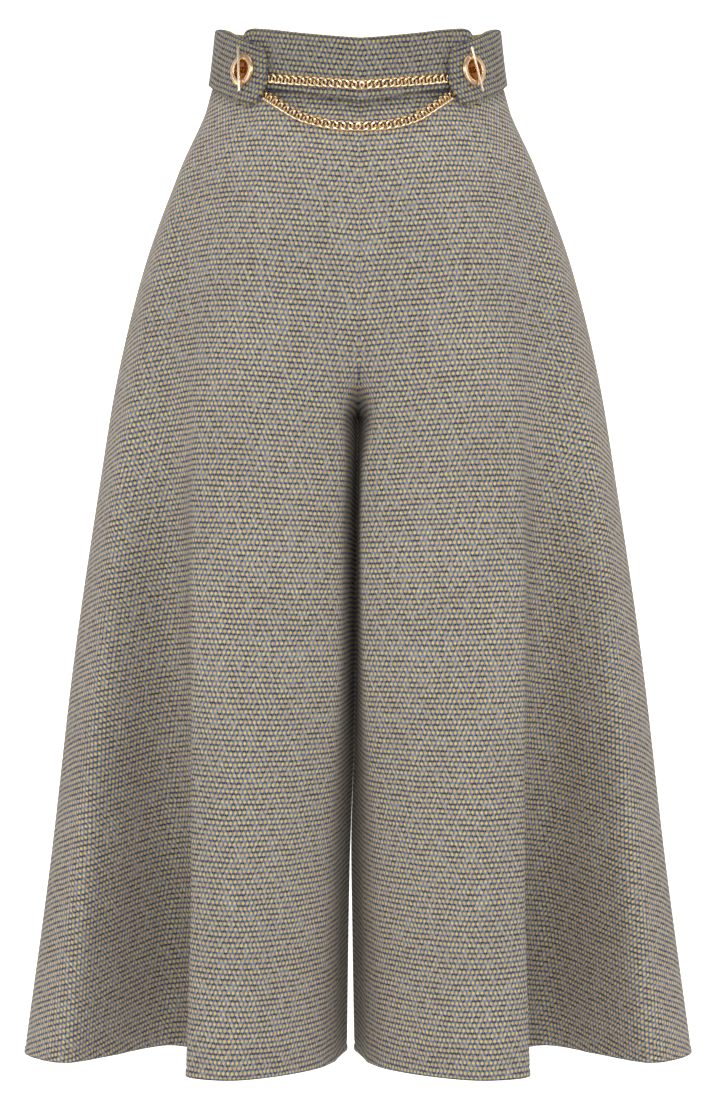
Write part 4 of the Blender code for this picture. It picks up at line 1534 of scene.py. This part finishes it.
@dataclass
class CurbChain:
    """A flat curb chain of twisted links, each hooked through the next."""

    name: str
    node: str
    table: tuple
    finish: bpy.types.Material
    slot: str = "chain_gold"
    width: float = 8.4
    cad_depth: float = 2.6
    pitch: float = 5.9
    wire: float = 1.0
    reach: float = 0.94
    twist: float = 0.95
    flat: float = 1.55
    around: int = 30
    sides: int = 10

    def spine(self) -> tuple:
        """Lay the chain's middle line over the cloth.

        Returns:
            Evenly spaced points along it, four for each link, the way out of the cloth at each, and how many
            links there are.
        """
        rows = np.array(self.table, float)
        run = running_length(rows[:, :2])
        line = smooth(run, rows, np.linspace(0.0, run[-1], 60))
        points, normals = [], []
        spots = [(Side.RIGHT, row) for row in line[:0:-1]] + [(Side.LEFT, row) for row in line]
        for side, (across, level, clearance) in spots:
            places = np.linspace(INNER_FRONT, 0.8, 161)
            spread = leg_points(Side.LEFT, places, level)[:, 0]
            place = float(np.interp(across, spread - spread[0], places))
            normal = leg_normals(side, place, level)[0]
            points.append(leg_points(side, place, level)[0] + normal * (clearance + self.cad_depth / 2))
            normals.append(normal)
        points, normals = np.array(points), np.array(normals)
        run = running_length(points)
        links = round(run[-1] / self.pitch)
        where = np.linspace(0.0, run[-1], links * 4 + 1)
        line = np.stack([np.interp(where, run, points[:, axis]) for axis in range(3)], axis=1)
        facing = np.stack([np.interp(where, run, normals[:, axis]) for axis in range(3)], axis=1)
        return line, unit(facing), links

    def link(self) -> np.ndarray:
        """Form one link round its own middle.

        Returns:
            Its points, as rows of along, across and out.
        """
        half_long = self.pitch * self.reach - self.wire
        half_wide = self.width / 2 - self.wire
        angles = np.arange(self.around) * 2 * math.pi / self.around
        line = np.stack([half_long * np.cos(angles), half_wide * np.sin(angles),
                         self.twist * np.sin(2 * angles)], axis=1)
        ahead = unit(np.roll(line, -1, axis=0) - np.roll(line, 1, axis=0))
        outward = np.stack([np.cos(angles), np.sin(angles), np.zeros(self.around)], axis=1)
        outward = unit(outward - ahead * np.sum(outward * ahead, axis=1, keepdims=True))
        lifted = np.cross(ahead, outward)
        turns = np.arange(self.sides) * 2 * math.pi / self.sides
        tube = (line[:, None] + self.wire * (outward[:, None] * np.cos(turns)[None, :, None]
                                             + lifted[:, None] * np.sin(turns)[None, :, None]))
        tube[:, :, 2] = np.clip(tube[:, :, 2], -self.flat, self.flat)
        return tube.reshape(-1, 3)

    def build(self) -> bpy.types.Object:
        """Make the chain as one mesh of many links.

        Returns:
            The piece.
        """
        line, facing, links = self.spine()
        along = unit(np.gradient(line, axis=0))
        across = np.cross(facing, along)
        shape = self.link()
        points, faces, painted_shades = [], [], []
        for number in range(links):
            spot = number * 4 + 2
            start = len(points) * len(shape)
            lean = 1.0 if number < links / 2 else -1.0
            # The Cut map holds each point's height off the cloth and its place across the chain; the chain's
            # material paints shade from it.
            painted_shades.append(np.stack([shape[:, 2] / self.flat, shape[:, 1] * lean / self.width * 2], axis=1))
            points.append(line[spot] + shape @ np.stack([along[spot], across[spot] * lean, facing[spot]]))
            for ring in range(self.around):
                here = start + ring * self.sides
                there = start + (ring + 1) % self.around * self.sides
                for side in range(self.sides):
                    after = (side + 1) % self.sides
                    faces.append((here + side, there + side, there + after, here + after))
        cut = np.concatenate(painted_shades)
        piece = make_object(self.name, np.concatenate(points), faces, self.finish, cut, math.radians(45))
        ride_and_replace(piece, self.node)
        return piece


# ---------------------------------------------------------------------------------------------------
# Studio
# ---------------------------------------------------------------------------------------------------


@dataclass(frozen=True)
class Softbox:
    """A soft area light aimed at the garment."""

    name: str
    place: tuple
    size: tuple
    power: float


@dataclass
class Studio:
    """A plain pale sweep, soft lights and the camera."""

    aim: tuple = (0.00157, 0.0, -0.3912)
    distance: float = 3.2245
    elevation: float = math.radians(2.194)
    lens: float = 132.2
    sensor: float = 36.0
    floor: float = -1.15
    floor_starts: float = -9.0
    floor_end: float = 1.2
    half_width: float = 9.0
    wall: float = 8.0
    wall_height: float = 7.0
    curve: float = 1.2
    curve_steps: int = 16
    light_aim: tuple = (0.0, 0.0, -0.35)
    room_light: float = 0.37
    softboxes: tuple = (
        Softbox("front_box", (0.0, -3.9, 0.8), (2.6, 1.2), 57.0),
        Softbox("left_box", (-2.4, -1.5, 0.1), (1.2, 2.0), 13.5),
        Softbox("right_box", (2.4, -1.5, 0.1), (1.2, 2.0), 13.5),
        Softbox("left_strip", (-2.4, 0.4, -0.2), (0.6, 2.0), 4.0),
        Softbox("right_strip", (2.4, 0.4, -0.2), (0.6, 2.0), 4.0),
        Softbox("top_box", (0.0, -0.4, 2.2), (2.0, 2.0), 9.5),
    )

    def camera(self) -> None:
        """Set the camera at the photograph's angle."""
        data = bpy.data.cameras.new("camera")
        data.lens = self.lens
        data.sensor_width = self.sensor
        item = bpy.data.objects.new("camera", data)
        aim = Vector(self.aim)
        away = Vector((0.0, -math.cos(self.elevation), math.sin(self.elevation)))
        item.location = aim + away * self.distance
        item.rotation_euler = (-away).to_track_quat("-Z", "Y").to_euler()
        bpy.context.scene.collection.objects.link(item)
        bpy.context.scene.camera = item

    def lights(self) -> None:
        """Set the soft lights and the room's own light."""
        aim = Vector(self.light_aim)
        for box in self.softboxes:
            data = bpy.data.lights.new(box.name, "AREA")
            data.shape = "RECTANGLE"
            data.size, data.size_y = box.size
            data.energy = box.power
            item = bpy.data.objects.new(box.name, data)
            item.location = box.place
            item.visible_camera = False
            item.rotation_euler = (aim - Vector(box.place)).to_track_quat("-Z", "Y").to_euler()
            bpy.context.scene.collection.objects.link(item)
        world = bpy.data.worlds.new("room")
        world.use_nodes = True
        room = Wiring(world.node_tree)
        room.fill(world.node_tree.nodes["Background"], {"Color": WHITE, "Strength": self.room_light})
        bpy.context.scene.world = world
        bpy.context.scene.view_settings.view_transform = "Standard"

    def sweep(self) -> None:
        """Make a floor that curves up into a wall behind."""
        line = [(self.floor_starts, self.floor), (self.floor_end, self.floor)]
        for step in range(self.curve_steps + 1):
            angle = math.pi / 2 * step / self.curve_steps
            line.append((self.wall - self.curve + self.curve * math.sin(angle),
                         self.floor + self.curve * (1 - math.cos(angle))))
        line.append((self.wall, self.floor + self.wall_height))
        points = [(x / MM, y / MM, z / MM) for x in (-self.half_width, self.half_width) for y, z in line]
        count = len(line)
        faces = [(i, i + 1, i + count + 1, i + count) for i in range(count - 1)]
        sweep = make_object("sweep", np.array(points), faces, self.paper("pale floor", 0.62, 0.0))
        sweep.data.materials.append(self.paper("pale wall", 0.92, 0.80))
        for number, face in enumerate(sweep.data.polygons):
            face.material_index = min(number, 1)

    def paper(self, name: str, pale: float, glow: float) -> bpy.types.Material:
        """A plain pale paper.

        Args:
            name: The material's name.
            pale: How much light it gives back.
            glow: How brightly it is lit from behind.

        Returns:
            The material.
        """
        material, shader, w = new_material(name)
        w.fill(shader, {"Base Color": (pale, pale, pale, 1.0), "Roughness": 0.9,
                        "Emission Color": WHITE, "Emission Strength": glow})
        return material

    def build(self) -> None:
        """Make the whole studio."""
        self.camera()
        self.lights()
        self.sweep()


def main() -> None:
    """Build the garment and the studio."""
    logging.basicConfig(level=logging.INFO, format="%(message)s")
    Studio().build()
    tweed = Tweed("tweed").material()
    # The band and the tabs are the legs' tweed painted darker, as painted shade.
    band_tweed = Tweed("band tweed", brightness=0.71).material()
    tab_tweed = Tweed("tab tweed", brightness=0.69).material()
    gold = Plate("gold plate", colour(242, 206, 166), polish=0.2).material()
    # The bar is the same gold painted paler, as a painted highlight.
    bar_gold = Plate("bar gold", colour(253, 234, 208), polish=0.2).material()
    # The dish and stud in the ring's hollow are the same gold painted darker, as painted shade.
    cup_gold = Plate("cup gold", colour(150, 92, 40), polish=0.2).material()
    # The chain's gold carries painted shade in dark brown, low on each link.
    chain_gold = Plate("chain gold", colour(255, 222, 176), 0.12, colour(96, 48, 14)).material()
    CurbChain("curb_chain_upper", "chain_upper", CHAIN_UPPER, chain_gold).build()
    CurbChain("curb_chain_lower", "chain_lower", CHAIN_LOWER, chain_gold).build()
    waistband = Waistband(band_tweed)
    front, back = waistband.front(), waistband.back()
    for side in Side:
        LegPanels(side, tweed).build({Half.FRONT: front.name, Half.BACK: back.name})
        BeltTab(side, tab_tweed).build(front.name)
        for piece in Clasp(side, gold, bar_gold, cup_gold).build():
            LOG.info("%s: %d faces", piece.name, len(piece.data.polygons))


if __name__ == "__main__":
    main()
